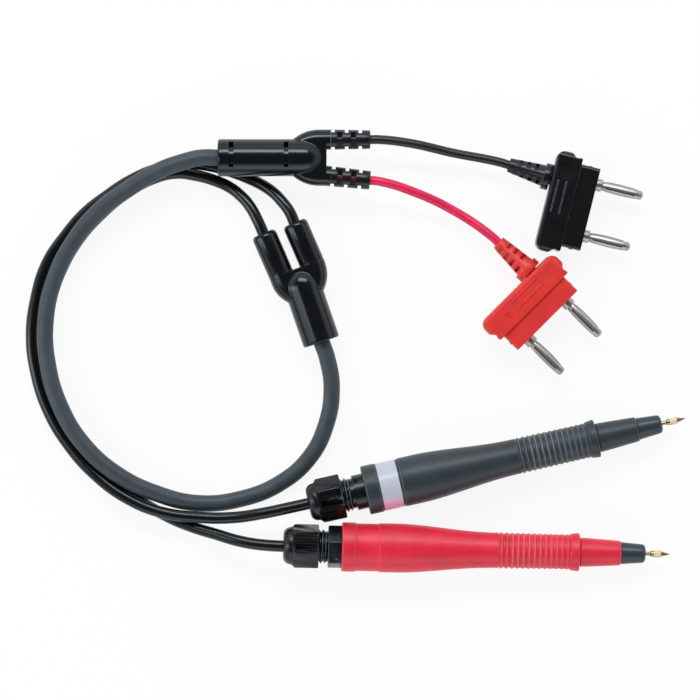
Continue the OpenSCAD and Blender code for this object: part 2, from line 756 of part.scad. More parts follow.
module sleeve_spring() {
    color(NICKEL)
        spring(x_boss_end, x_flange, chamber_r - spring_wire_r - 0.1, spring_wire_r,
            spring_turns);
}

module needle_spring() {
    wire = needle_chamber_r/4;
    color(NICKEL)
        spring(x_boss_end, x_piston, needle_chamber_r - wire - 0.03, wire, 8);
}

// ---- Dual banana plugs ----

function shell_half(x) =
    let (t = min(1, max(0, (x + block_len + 4.4)/3)))
    (shell_rear_w + (shell_front_w - shell_rear_w)*(1 - cos(180*t))/2)/2;

// Outline of the shell from above, one side, from its rear to its front
shell_side = concat(
    [for (a = [180:-15:90])
        [-block_len - shell_len + shell_round*(1 + cos(a)),
         shell_rear_w/2 - shell_round*(1 - sin(a))]],
    [for (i = [0:6]) let (x = -block_len - 4.4 + i/2) [x, shell_half(x)]],
    [[-block_len - 0.4, shell_front_w/2 + 0.1], [-block_len, shell_front_w/2 - 0.3]]
);

module both_sides(side_points) {
    polygon(concat(side_points,
        [for (i = [len(side_points) - 1:-1:0]) [side_points[i].x, -side_points[i].y]]));
}

// Rectangle w by h about the origin with cut corners
module soft_rect(w, h, c) {
    polygon([[-w/2 + c, -h/2], [w/2 - c, -h/2], [w/2 - 0.3*c, -h/2 + 0.3*c], [w/2, -h/2 + c],
        [w/2, h/2 - c], [w/2 - 0.3*c, h/2 - 0.3*c], [w/2 - c, h/2], [-w/2 + c, h/2],
        [-w/2 + 0.3*c, h/2 - 0.3*c], [-w/2, h/2 - c], [-w/2, -h/2 + c],
        [-w/2 + 0.3*c, -h/2 + 0.3*c]]);
}

module plug_shell(paint) {
    rear = -block_len - shell_len;
    pocket = [shell_len - shell_wall, block_w - 2*tongue_step, block_t - 2*tongue_step];
    color(paint) {
        difference() {
            intersection() {
                translate([0, 0, -shell_t/2])
                    linear_extrude(shell_t)
                        both_sides(shell_side);
                rotate([90, 0, 90])
                    translate([0, 0, rear - 1])
                        linear_extrude(shell_len + 2)
                            soft_rect(shell_rear_w, shell_t, 2.2);
                rotate([90, 0, 0])
                    translate([rear + shell_len/2 + 0.5, 0, -shell_rear_w])
                        linear_extrude(2*shell_rear_w)
                            soft_rect(shell_len + 1, shell_t, 1.5);
            }
            translate([-block_len - pocket.x, -pocket.y/2, -pocket.z/2])
                cube([pocket.x + 1, pocket.y, pocket.z]);
            translate([0, plug_boot_side, 0])
                bar(rear - 1, rear + shell_wall + 1, plug_boot_tip_r + seat_gap);
        }
        for (x = [rear + 2.5, rear + 5.5])
            translate([x - 0.3, 1.75 - ridge_len/2, shell_t/2 - 0.4])
                cube([0.6, ridge_len, 0.4 + ridge_h]);
        translate([rear + 4.6, -8.5, shell_t/2 - 0.4])
            linear_extrude(0.4 + ridge_h)
                polygon([[0, -1.1], [2.6, 0], [0, 1.1]]);
    }
}

module plug_block(paint) {
    inset = 2*(tongue_step + seat_gap);
    inner = [shell_len - shell_wall - wire_room, block_w - inset, block_t - inset];
    color(paint)
        difference() {
            union() {
                rotate([90, 0, 90])
                    translate([0, 0, -block_len + seat_gap])
                        linear_extrude(block_len - seat_gap)
                            soft_rect(block_w, block_t, 1.2);
                translate([-block_len - inner.x, -inner.y/2, -inner.z/2])
                    cube(inner + [1, 0, 0]);
                for (side = [-1, 1])
                    translate([-block_len/2 - 0.6, side*(block_w/2 - 0.3) - 0.6, -block_t/4])
                        cube([1.2, 1.2, block_t/2]);
            }
            for (side = [-1, 1])
                translate([0, side*pin_spacing/2, 0]) {
                    bar(-block_len - inner.x - 1, 1, pin_core_r + seat_gap);
                    bar(-pin_collar_sunk, 1, pin_collar_r + seat_gap);
                }
        }
}

module plug_pins() {
    for (side = [-1, 1])
        translate([0, side*pin_spacing/2, 0])
            children();
}

plug_tail_x = -block_len - (shell_len - shell_wall - wire_room) - 0.5;

module plug_pin_cores() {
    head_r = 0.85*cage_r;
    color(NICKEL)
        plug_pins()
            turned([[plug_tail_x, pin_core_r], [pin_len - pin_head_len, pin_core_r],
                [pin_len - pin_head_len, head_r - 0.05], [pin_len - pin_head_len/2, head_r],
                [pin_len - 0.35, head_r - 0.15], [pin_len - 0.1, head_r - 0.5],
                [pin_len, head_r - 0.9]]);
}

module plug_pin_collars() {
    color(NICKEL)
        plug_pins()
            difference() {
                turned([[seat_gap - pin_collar_sunk, pin_collar_r],
                    [pin_collar_len - 0.4, pin_collar_r], [pin_collar_len, pin_collar_r - 0.4]]);
                bar(-1, pin_collar_len + 1, pin_core_r + seat_gap);
            }
}

module plug_pin_cages() {
    x0 = pin_collar_len + seat_gap;
    x1 = pin_len - pin_head_len - seat_gap;
    color(NICKEL)
        plug_pins()
            difference() {
                turned([[x0, 0.77*cage_r], [x0 + 1, 0.86*cage_r], [x0 + 2.2, cage_r],
                    [x1 - 1.8, cage_r], [x1, 0.85*cage_r]]);
                bar(x0 - 1, x1 + 1, pin_core_r + seat_gap);
                for (turn = [22.5, 112.5])
                    rotate([turn, 0, 0])
                        translate([x0 + 1.2, -leaf_slot_w/2, -3])
                            cube([x1 - x0 - 2.4, leaf_slot_w, 6]);
            }
}

module plug_wires() {
    inlet_x = -block_len - shell_len + shell_wall + seat_gap;
    turn_x = (inlet_x + plug_tail_x)/2;
    color(CREAM)
        for (side = [-1, 1])
            translate([0, 0, side*(wire_r + 0.1)])
                wire_run([[inlet_x, plug_boot_side, 0], [turn_x, plug_boot_side, 0],
                    [turn_x, side*pin_spacing/2, 0], [plug_tail_x, side*pin_spacing/2, 0]]);
}

// Windows of a strain relief, in rows that change between two sides and the two others
module boot_windows(root_r, height, first, pitch, rows, start_turn, widths) {
    for (i = [0:rows - 1])
        rotate([start_turn + 90*(i%2), 0, 0])
            for (side = [-1, 1])
                translate([first + i*pitch/2, side*(lead_d/2 + 0.35 + root_r/2), 0])
                    cube([widths[i%2], root_r, height], center = true);
}

module plug_boot(paint, turn) {
    rear = -block_len - shell_len;
    root_r = plug_boot_root_r;
    root_len = plug_boot_root_len;
    window = 0.42*plug_boot_pitch;
    color(paint)
        translate([rear, plug_boot_side, 0]) {
            rotate([0, 0, 180 + turn])
                translate([0.3, 0, 0])
                    difference() {
                        turned([[0, root_r - 0.25], [0.25, root_r], [root_len - 0.25, root_r],
                            [root_len, root_r - 0.2], [root_len, root_r - 0.9],
                            [plug_boot_len - 0.6, plug_boot_tip_r],
                            [plug_boot_len - 0.3, plug_boot_tip_r - 0.3]]);
                        boot_windows(root_r, 1.3*plug_boot_tip_r, plug_boot_first,
                            plug_boot_pitch, 7, 45, [window, window]);
                    }
            bar(-0.6, shell_wall, plug_boot_tip_r);
        }
}

// ---- Junctions ----

function round_end(x, r, depth) = [for (a = [0:15:75]) [x - depth + depth*sin(a), r*cos(a)]];

// Rounded body with two arms that swing out to the outlets, side by side in a web
module junction_body(body_len, body_r, end_len, face_x, side, outlet_r, start_x, turn) {
    steps = 6;
    seat = 2;
    end_x = face_x - seat*cos(turn);
    turned(concat([[0, body_r - 0.6], [0.2, body_r - 0.2], [0.6, body_r]],
        round_end(body_len, body_r, end_len)));
    for (i = [0:steps - 1])
        hull()
            for (s = [-1, 1], t = [i/steps, (i + 1)/steps])
                translate([start_x + (end_x - start_x)*t,
                    s*side*(1 - pow(1 - t, arm_swing)) - seat*sin(turn)*t, 0])
                    rotate([0, 90, turn*t])
                        cylinder(h = 0.1, r = outlet_r, $fn = 32);
    // The web stops where two turned faces part, and a neck goes on to each arm's face.
    hull()
        for (s = [-1, 1])
            translate([face_x, s*side, 0])
                rotate([0, 0, turn])
                    bar(-seat, -2.4*outlet_r*sin(turn), outlet_r, $fn = 32);
    if (turn > 0)
        for (s = [-1, 1])
            translate([face_x, s*side, 0])
                rotate([0, 0, turn])
                    bar(-seat - 0.7, 0, outlet_r - 0.2);
}

module splices(x) {
    for (s = [-1, 1])
        translate([0, s*splice_side, 0])
            bar(x, x + splice_len, splice_r);
}

module pj_grooves() {
    for (x = [pj_groove_rear, pj_groove_front])
        intersection() {
            difference() {
                bar(x - pj_groove_w/2, x + pj_groove_w/2, pj_r + 1);
                bar(x - pj_groove_w, x + pj_groove_w, pj_r - pj_groove_depth);
            }
            translate([x - pj_groove_w, pj_groove_bottom, 0])
                cube([2*pj_groove_w, pj_groove_top - pj_groove_bottom, pj_r + 1]);
        }
}

module plug_junction() {
    color(GREY)
        difference() {
            union() {
                junction_body(pj_len, pj_r, pj_end_len, pj_web_len, pj_side, pj_outlet_r,
                    pj_arms_start, 0);
                for (s = [-1, 1])
                    translate([pj_web_len, s*pj_side, 0])
                        rotate([0, 0, s < 0 ? pj_red_boot_turn : 0])
                            bar(-1, pj_outlet_len - seat_gap, pj_outlet_r);
            }
            pj_grooves();
            splices(pj_splice);
        }
}

module plug_junction_boot(side, turn, paint) {
    color(paint)
        translate([pj_web_len, side, 0])
            rotate([0, 0, turn])
                translate([pj_outlet_len, 0, 0])
                    difference() {
                        turned([[0, pj_outlet_r], [pj_boot_len - 0.3, pj_boot_tip_r + 0.3],
                            [pj_boot_len, pj_boot_tip_r]]);
                        boot_windows(pj_outlet_r, pj_boot_window_h, pj_boot_first,
                            pj_boot_pitch, 5, 0, [pj_boot_notch, 1.5*pj_boot_notch]);
                    }
}

module pen_junction() {
    color(GREY)
        difference() {
            junction_body(nj_len, nj_r, nj_end_len, nj_seam_len, nj_side, nj_sleeve_r,
                nj_arms_start, nj_sleeve_turn);
            splices(nj_splice);
        }
}

module pen_junction_sleeve(side) {
    end = nj_sleeve_len;
    color(GREY)
        translate([nj_seam_len, side, 0])
            rotate([0, 0, nj_sleeve_turn])
                difference() {
                    turned([[seat_gap, nj_sleeve_r - 0.15], [seat_gap + 0.15, nj_sleeve_r],
                        [end - 1.6, nj_sleeve_r], [end - 0.5, nj_sleeve_r - 0.35],
                        [end, nj_sleeve_r - 1]]);
                    bar(end - nj_sleeve_bore, end + 1, thin_d/2 + 0.05);
                }
}

// ---- The set ----

put(grey_pen) gland_nut();  // grey_gland_nut
put(grey_pen) gland_seal();  // grey_gland_seal
put(grey_pen) gland_body(grey_pen, grey_screw_roll);  // grey_gland_body
put(grey_pen) set_screw(grey_pen, grey_screw_roll);  // grey_set_screw
put(grey_pen) barrel(GREY);  // grey_barrel
put(grey_pen) label_band();  // grey_label_band
put(grey_pen) nose_cone(GREY);  // grey_nose_cone
put(grey_pen) nose_tip();  // grey_nose_tip
put(grey_pen) contact_carrier();  // grey_contact_carrier
put(grey_pen) solder_lugs();  // grey_solder_lugs
put(grey_pen) core_wires();  // grey_core_wires
put(grey_pen) contact_sleeve();  // grey_contact_sleeve
put(grey_pen) contact_insulator();  // grey_contact_insulator
put(grey_pen) contact_needle();  // grey_contact_needle
put(grey_pen) sleeve_spring();  // grey_sleeve_spring
put(grey_pen) needle_spring();  // grey_needle_spring
put(red_pen) gland_nut();  // red_gland_nut
put(red_pen) gland_seal();  // red_gland_seal
put(red_pen) gland_body(red_pen, red_screw_roll);  // red_gland_body
put(red_pen) set_screw(red_pen, red_screw_roll);  // red_set_screw
put(red_pen) barrel(RED);  // red_barrel
put(red_pen) nose_cone(RED);  // red_nose_cone
put(red_pen) nose_tip();  // red_nose_tip
put(red_pen) contact_carrier();  // red_contact_carrier
put(red_pen) solder_lugs();  // red_solder_lugs
put(red_pen) core_wires();  // red_core_wires
put(red_pen) contact_sleeve();  // red_contact_sleeve
put(red_pen) contact_insulator();  // red_contact_insulator
put(red_pen) contact_needle();  // red_contact_needle
put(red_pen) sleeve_spring();  // red_sleeve_spring
put(red_pen) needle_spring();  // red_needle_spring

put(black_plug) plug_shell(BLACK);  // black_plug_shell
put(black_plug) plug_block(BLACK);  // black_plug_block
put(black_plug) plug_boot(BLACK, black_plug_boot_turn);  // black_plug_boot
put(black_plug) plug_pin_cores();  // black_plug_pin_cores
put(black_plug) plug_pin_cages();  // black_plug_pin_cages
put(black_plug) plug_pin_collars();  // black_plug_pin_collars
put(black_plug) plug_wires();  // black_plug_wires
put(red_plug) plug_shell(VERMILION);  // red_plug_shell
put(red_plug) plug_block(VERMILION);  // red_plug_block
put(red_plug) plug_boot(VERMILION, red_plug_boot_turn);  // red_plug_boot
put(red_plug) plug_pin_cores();  // red_plug_pin_cores
put(red_plug) plug_pin_cages();  // red_plug_pin_cages
put(red_plug) plug_pin_collars();  // red_plug_pin_collars
put(red_plug) plug_wires();  // red_plug_wires

put(plug_junction_place) plug_junction();
put(plug_junction_place) plug_junction_boot(pj_side, 0, BLACK);  // plug_junction_black_boot
put(plug_junction_place) plug_junction_boot(-pj_side, pj_red_boot_turn, BLACK);  // plug_junction_red_boot
color(BRASS) put(plug_junction_place) splices(pj_splice);  // plug_junction_splices
put(pen_junction_place) pen_junction();
put(pen_junction_place) pen_junction_sleeve(nj_side);  // pen_junction_red_sleeve
put(pen_junction_place) pen_junction_sleeve(-nj_side);  // pen_junction_grey_sleeve
color(BRASS) put(pen_junction_place) splices(nj_splice);  // pen_junction_splices

color(GREY) tube(main_points, main_d/2, 12);  // main_cable
color(BLACK) tube(grey_pen_points, thin_d/2, 10);  // grey_pen_cable
color(BLACK) tube(red_pen_points, thin_d/2, 10);  // red_pen_cable
color(BLACK) tube(black_lead_points, lead_d/2, 8);  // black_lead
color(CRIMSON) tube(red_lead_points, lead_d/2, 8);  // red_lead
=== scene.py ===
"""Looks of the four-terminal test lead set: finely shaped pieces, cables, finishes and light.

Every length in a class is in millimetres, in the sub-assembly's own frame with its axis along
+X. A Place carries the finished meshes to the set's frame, in metres.
"""

from __future__ import annotations

import json
import logging
import math
from dataclasses import dataclass, field, replace
from enum import Enum
from functools import lru_cache
from typing import Callable, Iterable, Sequence

import bpy
import numpy as np
from mathutils import Matrix, Vector
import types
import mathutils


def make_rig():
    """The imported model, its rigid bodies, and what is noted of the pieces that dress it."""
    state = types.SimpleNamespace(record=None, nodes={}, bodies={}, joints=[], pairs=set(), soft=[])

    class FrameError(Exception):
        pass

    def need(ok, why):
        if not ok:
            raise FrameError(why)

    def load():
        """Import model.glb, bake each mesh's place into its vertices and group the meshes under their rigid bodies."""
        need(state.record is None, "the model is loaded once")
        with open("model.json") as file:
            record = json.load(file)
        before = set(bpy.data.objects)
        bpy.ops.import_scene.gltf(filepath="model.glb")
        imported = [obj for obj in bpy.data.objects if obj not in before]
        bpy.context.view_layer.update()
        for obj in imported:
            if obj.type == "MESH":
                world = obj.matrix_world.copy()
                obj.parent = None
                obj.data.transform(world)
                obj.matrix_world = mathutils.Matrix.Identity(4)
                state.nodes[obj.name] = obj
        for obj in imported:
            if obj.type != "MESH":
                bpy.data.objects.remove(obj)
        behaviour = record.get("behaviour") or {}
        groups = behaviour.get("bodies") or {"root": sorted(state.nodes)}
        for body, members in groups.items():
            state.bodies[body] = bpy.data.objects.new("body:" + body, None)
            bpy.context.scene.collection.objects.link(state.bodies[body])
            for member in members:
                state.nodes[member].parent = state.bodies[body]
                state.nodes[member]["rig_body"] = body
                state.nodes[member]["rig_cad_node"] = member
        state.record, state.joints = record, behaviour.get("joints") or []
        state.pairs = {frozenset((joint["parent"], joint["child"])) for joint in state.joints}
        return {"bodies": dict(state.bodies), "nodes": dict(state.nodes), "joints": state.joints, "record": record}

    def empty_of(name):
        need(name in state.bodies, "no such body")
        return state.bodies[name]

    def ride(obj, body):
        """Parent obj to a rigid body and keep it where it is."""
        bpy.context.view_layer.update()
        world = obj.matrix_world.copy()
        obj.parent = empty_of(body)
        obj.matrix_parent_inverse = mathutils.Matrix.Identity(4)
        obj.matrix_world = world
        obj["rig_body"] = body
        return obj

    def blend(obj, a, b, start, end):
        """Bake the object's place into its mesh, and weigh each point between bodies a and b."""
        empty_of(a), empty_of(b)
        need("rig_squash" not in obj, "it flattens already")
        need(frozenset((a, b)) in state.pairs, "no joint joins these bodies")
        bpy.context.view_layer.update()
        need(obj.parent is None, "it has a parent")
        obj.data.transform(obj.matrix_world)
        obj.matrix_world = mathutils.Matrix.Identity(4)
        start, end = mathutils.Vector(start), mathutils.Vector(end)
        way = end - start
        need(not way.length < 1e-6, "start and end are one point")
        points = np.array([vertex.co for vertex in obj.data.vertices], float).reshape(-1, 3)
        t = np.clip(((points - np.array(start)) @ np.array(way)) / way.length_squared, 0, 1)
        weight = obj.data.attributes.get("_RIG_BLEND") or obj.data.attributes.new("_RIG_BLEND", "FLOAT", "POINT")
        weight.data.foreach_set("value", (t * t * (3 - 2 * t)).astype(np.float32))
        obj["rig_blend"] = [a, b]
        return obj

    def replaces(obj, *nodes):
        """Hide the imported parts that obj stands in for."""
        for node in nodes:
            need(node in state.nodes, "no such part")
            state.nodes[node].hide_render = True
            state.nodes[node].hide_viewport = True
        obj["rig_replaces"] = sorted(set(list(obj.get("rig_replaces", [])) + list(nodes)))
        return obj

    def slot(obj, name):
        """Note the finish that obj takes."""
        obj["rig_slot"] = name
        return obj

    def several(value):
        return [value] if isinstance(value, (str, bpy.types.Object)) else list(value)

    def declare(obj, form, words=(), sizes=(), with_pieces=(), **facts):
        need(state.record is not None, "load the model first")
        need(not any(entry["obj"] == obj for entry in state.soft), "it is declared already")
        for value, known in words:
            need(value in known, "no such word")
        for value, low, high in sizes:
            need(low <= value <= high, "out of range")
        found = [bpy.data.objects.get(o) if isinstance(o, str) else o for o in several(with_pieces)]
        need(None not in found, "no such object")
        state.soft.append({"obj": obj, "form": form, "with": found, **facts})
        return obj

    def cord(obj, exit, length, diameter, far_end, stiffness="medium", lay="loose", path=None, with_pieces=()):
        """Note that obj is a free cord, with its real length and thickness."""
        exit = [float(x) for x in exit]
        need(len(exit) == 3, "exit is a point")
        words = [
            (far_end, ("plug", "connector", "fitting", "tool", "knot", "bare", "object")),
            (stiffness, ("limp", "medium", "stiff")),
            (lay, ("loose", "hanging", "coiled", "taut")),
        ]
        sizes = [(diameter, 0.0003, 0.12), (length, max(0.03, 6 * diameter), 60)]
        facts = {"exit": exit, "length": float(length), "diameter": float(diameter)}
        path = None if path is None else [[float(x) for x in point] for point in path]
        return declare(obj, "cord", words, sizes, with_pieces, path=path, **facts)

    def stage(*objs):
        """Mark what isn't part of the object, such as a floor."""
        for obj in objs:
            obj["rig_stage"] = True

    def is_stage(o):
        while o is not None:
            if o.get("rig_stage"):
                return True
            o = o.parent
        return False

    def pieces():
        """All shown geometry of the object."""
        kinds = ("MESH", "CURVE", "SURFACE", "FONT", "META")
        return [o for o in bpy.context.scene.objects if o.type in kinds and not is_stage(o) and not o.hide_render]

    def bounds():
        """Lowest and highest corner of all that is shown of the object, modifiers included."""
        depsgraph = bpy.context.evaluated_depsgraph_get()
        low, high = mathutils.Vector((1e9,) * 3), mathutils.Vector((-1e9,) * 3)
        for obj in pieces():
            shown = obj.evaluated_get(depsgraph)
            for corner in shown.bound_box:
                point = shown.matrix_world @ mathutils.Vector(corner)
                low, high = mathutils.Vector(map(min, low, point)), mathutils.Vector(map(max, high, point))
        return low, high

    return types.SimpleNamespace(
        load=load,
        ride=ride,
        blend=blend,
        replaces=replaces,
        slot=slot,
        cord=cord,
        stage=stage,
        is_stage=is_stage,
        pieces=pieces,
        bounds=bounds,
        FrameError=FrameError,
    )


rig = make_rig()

LOG = logging.getLogger("test_lead_set")
MM = 0.001

Outline = list[tuple[float, float]]
Point = tuple[float, float, float]


# ---- Shader maths ----


class Signal:
    """A shader socket that takes part in Python arithmetic; each sum adds its Math node."""

    def __init__(self, graph: Graph, socket: bpy.types.NodeSocket) -> None:
        """Wraps a node's output socket.

        Args:
            graph: The node tree that the socket is in.
            socket: The output socket.
        """
        self.graph = graph
        self.socket = socket

    def _math(self, operation: str, first: object, second: object = 0.0) -> Signal:
        """Returns the output of a Math node on two values or signals."""
        node = self.graph.node("ShaderNodeMath", {"operation": operation}, {0: first, 1: second})
        return Signal(self.graph, node.outputs[0])

    def __add__(self, other: object) -> Signal:
        """Sum."""
        return self._math("ADD", self, other)

    def __radd__(self, other: object) -> Signal:
        """Sum, reflected."""
        return self._math("ADD", other, self)

    def __sub__(self, other: object) -> Signal:
        """Difference."""
        return self._math("SUBTRACT", self, other)

    def __rsub__(self, other: object) -> Signal:
        """Difference, reflected."""
        return self._math("SUBTRACT", other, self)

    def __mul__(self, other: object) -> Signal:
        """Product."""
        return self._math("MULTIPLY", self, other)

    def at_least(self, other: object) -> Signal:
        """Returns the larger of this and another value."""
        return self._math("MAXIMUM", self, other)

    def ramp(self, low: float, high: float) -> Signal:
        """Maps low..high to 0..1 with soft ends, and stays at 0 and 1 beyond them.

        Args:
            low: The value that becomes 0.
            high: The value that becomes 1.

        Returns:
            The mapped signal.
        """
        node = self.graph.node(
            "ShaderNodeMapRange",
            {"interpolation_type": "SMOOTHSTEP"},
            {"Value": self, "From Min": low, "From Max": high},
        )
        return Signal(self.graph, node.outputs[0])


class Graph:
    """A node tree that is built from Python expressions."""

    def __init__(self, tree: bpy.types.NodeTree) -> None:
        """Empties the tree and keeps it."""
        self.tree = tree
        self.tree.nodes.clear()

    def feed(self, socket: bpy.types.NodeSocket, value: object) -> None:
        """Links a signal to an input socket, or sets the socket's own value."""
        if isinstance(value, Signal):
            self.tree.links.new(value.socket, socket)
        else:
            socket.default_value = value

    def node(
        self,
        kind: str,
        settings: dict[str, object] | None = None,
        values: dict[str | int, object] | None = None,
    ) -> bpy.types.Node:
        """Adds any node: its settings are made first, then its sockets are fed.

        Args:
            kind: Blender's name of the node's type.
            settings: The node's own settings; "stops" holds a ramp's (place, colour) pairs.
            values: Values or signals for its inputs, by name or number.

        Returns:
            The new node.
        """
        node = self.tree.nodes.new(kind)
        for name, value in (settings or {}).items():
            if name == "stops":
                self._set_stops(node.color_ramp, value)
            else:
                setattr(node, name, value)
        for name, value in (values or {}).items():
            self.feed(node.inputs[name], value)
        return node

    @staticmethod
    def _set_stops(ramp: bpy.types.ColorRamp, stops: Sequence[tuple]) -> None:
        """Gives a colour ramp its (place, colour) stops."""
        while len(ramp.elements) < len(stops):
            ramp.elements.new(1.0)
        for element, (place, colour) in zip(ramp.elements, stops):
            element.position = place
            element.color = colour

    def signal(self, kind: str, output: str | int, *args: dict | None) -> Signal:
        """Adds a node as node() does and returns one of its outputs as a signal."""
        return Signal(self, self.node(kind, *args).outputs[output])

    def place(self) -> Signal:
        """Returns the place on the piece, in metres."""
        return self.signal("ShaderNodeTexCoord", "Object")

    def vector(self, operation: str, first: object, second: object) -> Signal:
        """Returns the output of a Vector Math node."""
        values = {0: first, 1: second}
        return self.signal("ShaderNodeVectorMath", 0, {"operation": operation}, values)

    def blend(self, factor: object, low: object, high: object, mode: str = "MIX") -> Signal:
        """Returns a mix of two colours.

        Args:
            factor: 0 for the low colour, 1 for the high one.
            low: The first colour or signal.
            high: The second colour or signal.
            mode: The blend mode.

        Returns:
            The mixed colour's signal.
        """
        settings = {"data_type": "RGBA", "blend_type": mode, "clamp_factor": True}
        return self.signal("ShaderNodeMix", 2, settings, {0: factor, 6: low, 7: high})

    def noise(self, where: object, grain: float, detail: float = 3.0) -> Signal:
        """Returns noise from 0 to 1.

        Args:
            where: The coordinates, in metres.
            grain: The size of its blotches in mm.
            detail: How many finer layers it has.

        Returns:
            The noise's signal.
        """
        values = {"Vector": where, "Scale": 1.0 / (grain * MM), "Detail": detail}
        return self.signal("ShaderNodeTexNoise", "Fac", {"noise_dimensions": "3D"}, values)

    def bump(self, height: Signal, depth: float) -> Signal:
        """Returns a normal that is bumped by a height signal of the given depth in mm."""
        values = {"Height": height, "Distance": depth * MM, "Strength": 1.0}
        return self.signal("ShaderNodeBump", 0, None, values)


def linear(colour: Sequence[float], gain: float = 1.0) -> tuple[float, float, float, float]:
    """Turns a display colour into the renderer's own numbers.

    Args:
        colour: Red, green and blue from 0 to 255.
        gain: A factor on the result.

    Returns:
        Red, green, blue and an opacity of 1.
    """
    parts = [channel / 255 for channel in colour]
    curve = [p / 12.92 if p <= 0.04045 else ((p + 0.055) / 1.055) ** 2.4 for p in parts]
    return (*(min(1.0, part * gain) for part in curve), 1.0)


# ---- Finishes ----


@dataclass(frozen=True)
class Finish:
    """What all finishes share: the slot that they stand for, a colour and a roughness."""

    slot: str
    colour: tuple[int, int, int]
    roughness: float

    @lru_cache(maxsize=None)
    def material(self) -> bpy.types.Material:
        """Returns the finish's material, made the first time it is asked for."""
        made = bpy.data.materials.new(f"{self.slot}_finish")
        made.use_nodes = True
        graph = Graph(made.node_tree)
        shader = graph.node("ShaderNodeBsdfPrincipled")
        self.mix(graph, shader)
        output = graph.node("ShaderNodeOutputMaterial")
        graph.tree.links.new(shader.outputs[0], output.inputs[0])
        made.diffuse_color = linear(self.colour)
        return made

    def mix(self, graph: Graph, shader: bpy.types.Node) -> None:
        """Feeds the shader; each kind of finish has its own way."""
        raise NotImplementedError


@dataclass(frozen=True)
class Moulding(Finish):
    """Moulded plastic or rubber: fine grain, soft mottling, a painted highlight on convex edges and painted shade in
    concave ones.
    """

    grain: float = 0.35
    grain_depth: float = 0.006
    mottle: float = 0.08
    # strength of the painted highlight on convex edges
    edge_highlight: float = 0.25
    # strength of the painted shade in concave edges
    crease_shade: float = 0.5
    # colour of that painted highlight
    highlight_colour: tuple[int, int, int] = (120, 126, 132)
    tint: tuple[float, float, float] = (0.86, 0.95, 1.0)

    def mix(self, graph: Graph, shader: bpy.types.Node) -> None:
        """Feeds colour, roughness and normal from noise; the piece's own edges get painted highlight and shade."""
        where = graph.place()
        cloud = graph.noise(where, 9.0)
        speck = graph.noise(where, self.grain, 4.0)
        scuff = graph.noise(graph.vector("MULTIPLY", where, (0.35, 1.6, 1.0)), 2.4, 5.0)
        edge = graph.signal("ShaderNodeAttribute", "Fac", {"attribute_name": "edge"})
        # painted highlight: convex edges turn paler, broken up by noise
        edge_highlight = edge.ramp(0.02, 0.10) * (0.5 + scuff.ramp(0.25, 0.60) * 0.5) * self.edge_highlight
        # painted shade: concave edges and creases turn darker
        crease_shade = (0.0 - edge).ramp(0.01, 0.09) * self.crease_shade
        low = linear(self.colour, 1.0 - self.mottle)
        high = linear(self.colour, 1.0 + self.mottle)
        tone = graph.blend(cloud.ramp(0.3, 0.7), low, high)
        tone = graph.blend(crease_shade, tone, linear(self.colour, 0.3))
        graph.feed(shader.inputs["Base Color"], graph.blend(edge_highlight, tone, linear(self.highlight_colour)))
        rough = self.roughness + (speck - 0.5) * 0.10 + (scuff - 0.5) * 0.14
        graph.feed(shader.inputs["Roughness"], rough.at_least(0.05))
        graph.feed(shader.inputs["Normal"], graph.bump(speck, self.grain_depth))
        shader.inputs["Specular Tint"].default_value = (*self.tint, 1.0)


@dataclass(frozen=True)
class Sheath(Finish):
    """Extruded cable jacket with small dents and a slightly cool sheen."""

    mottle: float = 0.10
    tint: tuple[float, float, float] = (0.80, 0.92, 1.0)

    def mix(self, graph: Graph, shader: bpy.types.Node) -> None:
        """Feeds colour, roughness and normal from two scales of noise."""
        where = graph.place()
        cloud = graph.noise(where, 5.5)
        fine = graph.noise(where, 0.5, 4.0)
        low = linear(self.colour, 1.0 - self.mottle)
        high = linear(self.colour, 1.0 + self.mottle)
        graph.feed(shader.inputs["Base Color"], graph.blend(cloud.ramp(0.3, 0.7), low, high))
        rough = self.roughness + (cloud - 0.5) * 0.10 + (fine - 0.5) * 0.06
        graph.feed(shader.inputs["Roughness"], rough.at_least(0.05))
        graph.feed(shader.inputs["Normal"], graph.bump(cloud, 0.005))
        shader.inputs["Specular Tint"].default_value = (*self.tint, 1.0)


@dataclass(frozen=True)
class Plating(Finish):
    """Plated or bare metal with fine turning marks and a slight tarnish."""

    tarnish: tuple[int, int, int] = (90, 84, 74)
    tarnished: float = 0.35

    def mix(self, graph: Graph, shader: bpy.types.Node) -> None:
        """Feeds colour and roughness from noise, and makes the surface metallic."""
        where = graph.place()
        marks = graph.noise(where, 0.5, 3.0)
        stain = graph.noise(where, 1.4, 4.0).ramp(0.40, 0.75) * self.tarnished
        tone = graph.blend(stain, linear(self.colour), linear(self.tarnish))
        graph.feed(shader.inputs["Base Color"], tone)
        graph.feed(shader.inputs["Roughness"], self.roughness + (marks - 0.5) * 0.08 + stain * 0.2)
        graph.feed(shader.inputs["Normal"], graph.bump(marks, 0.0008))
        shader.inputs["Metallic"].default_value = 1.0


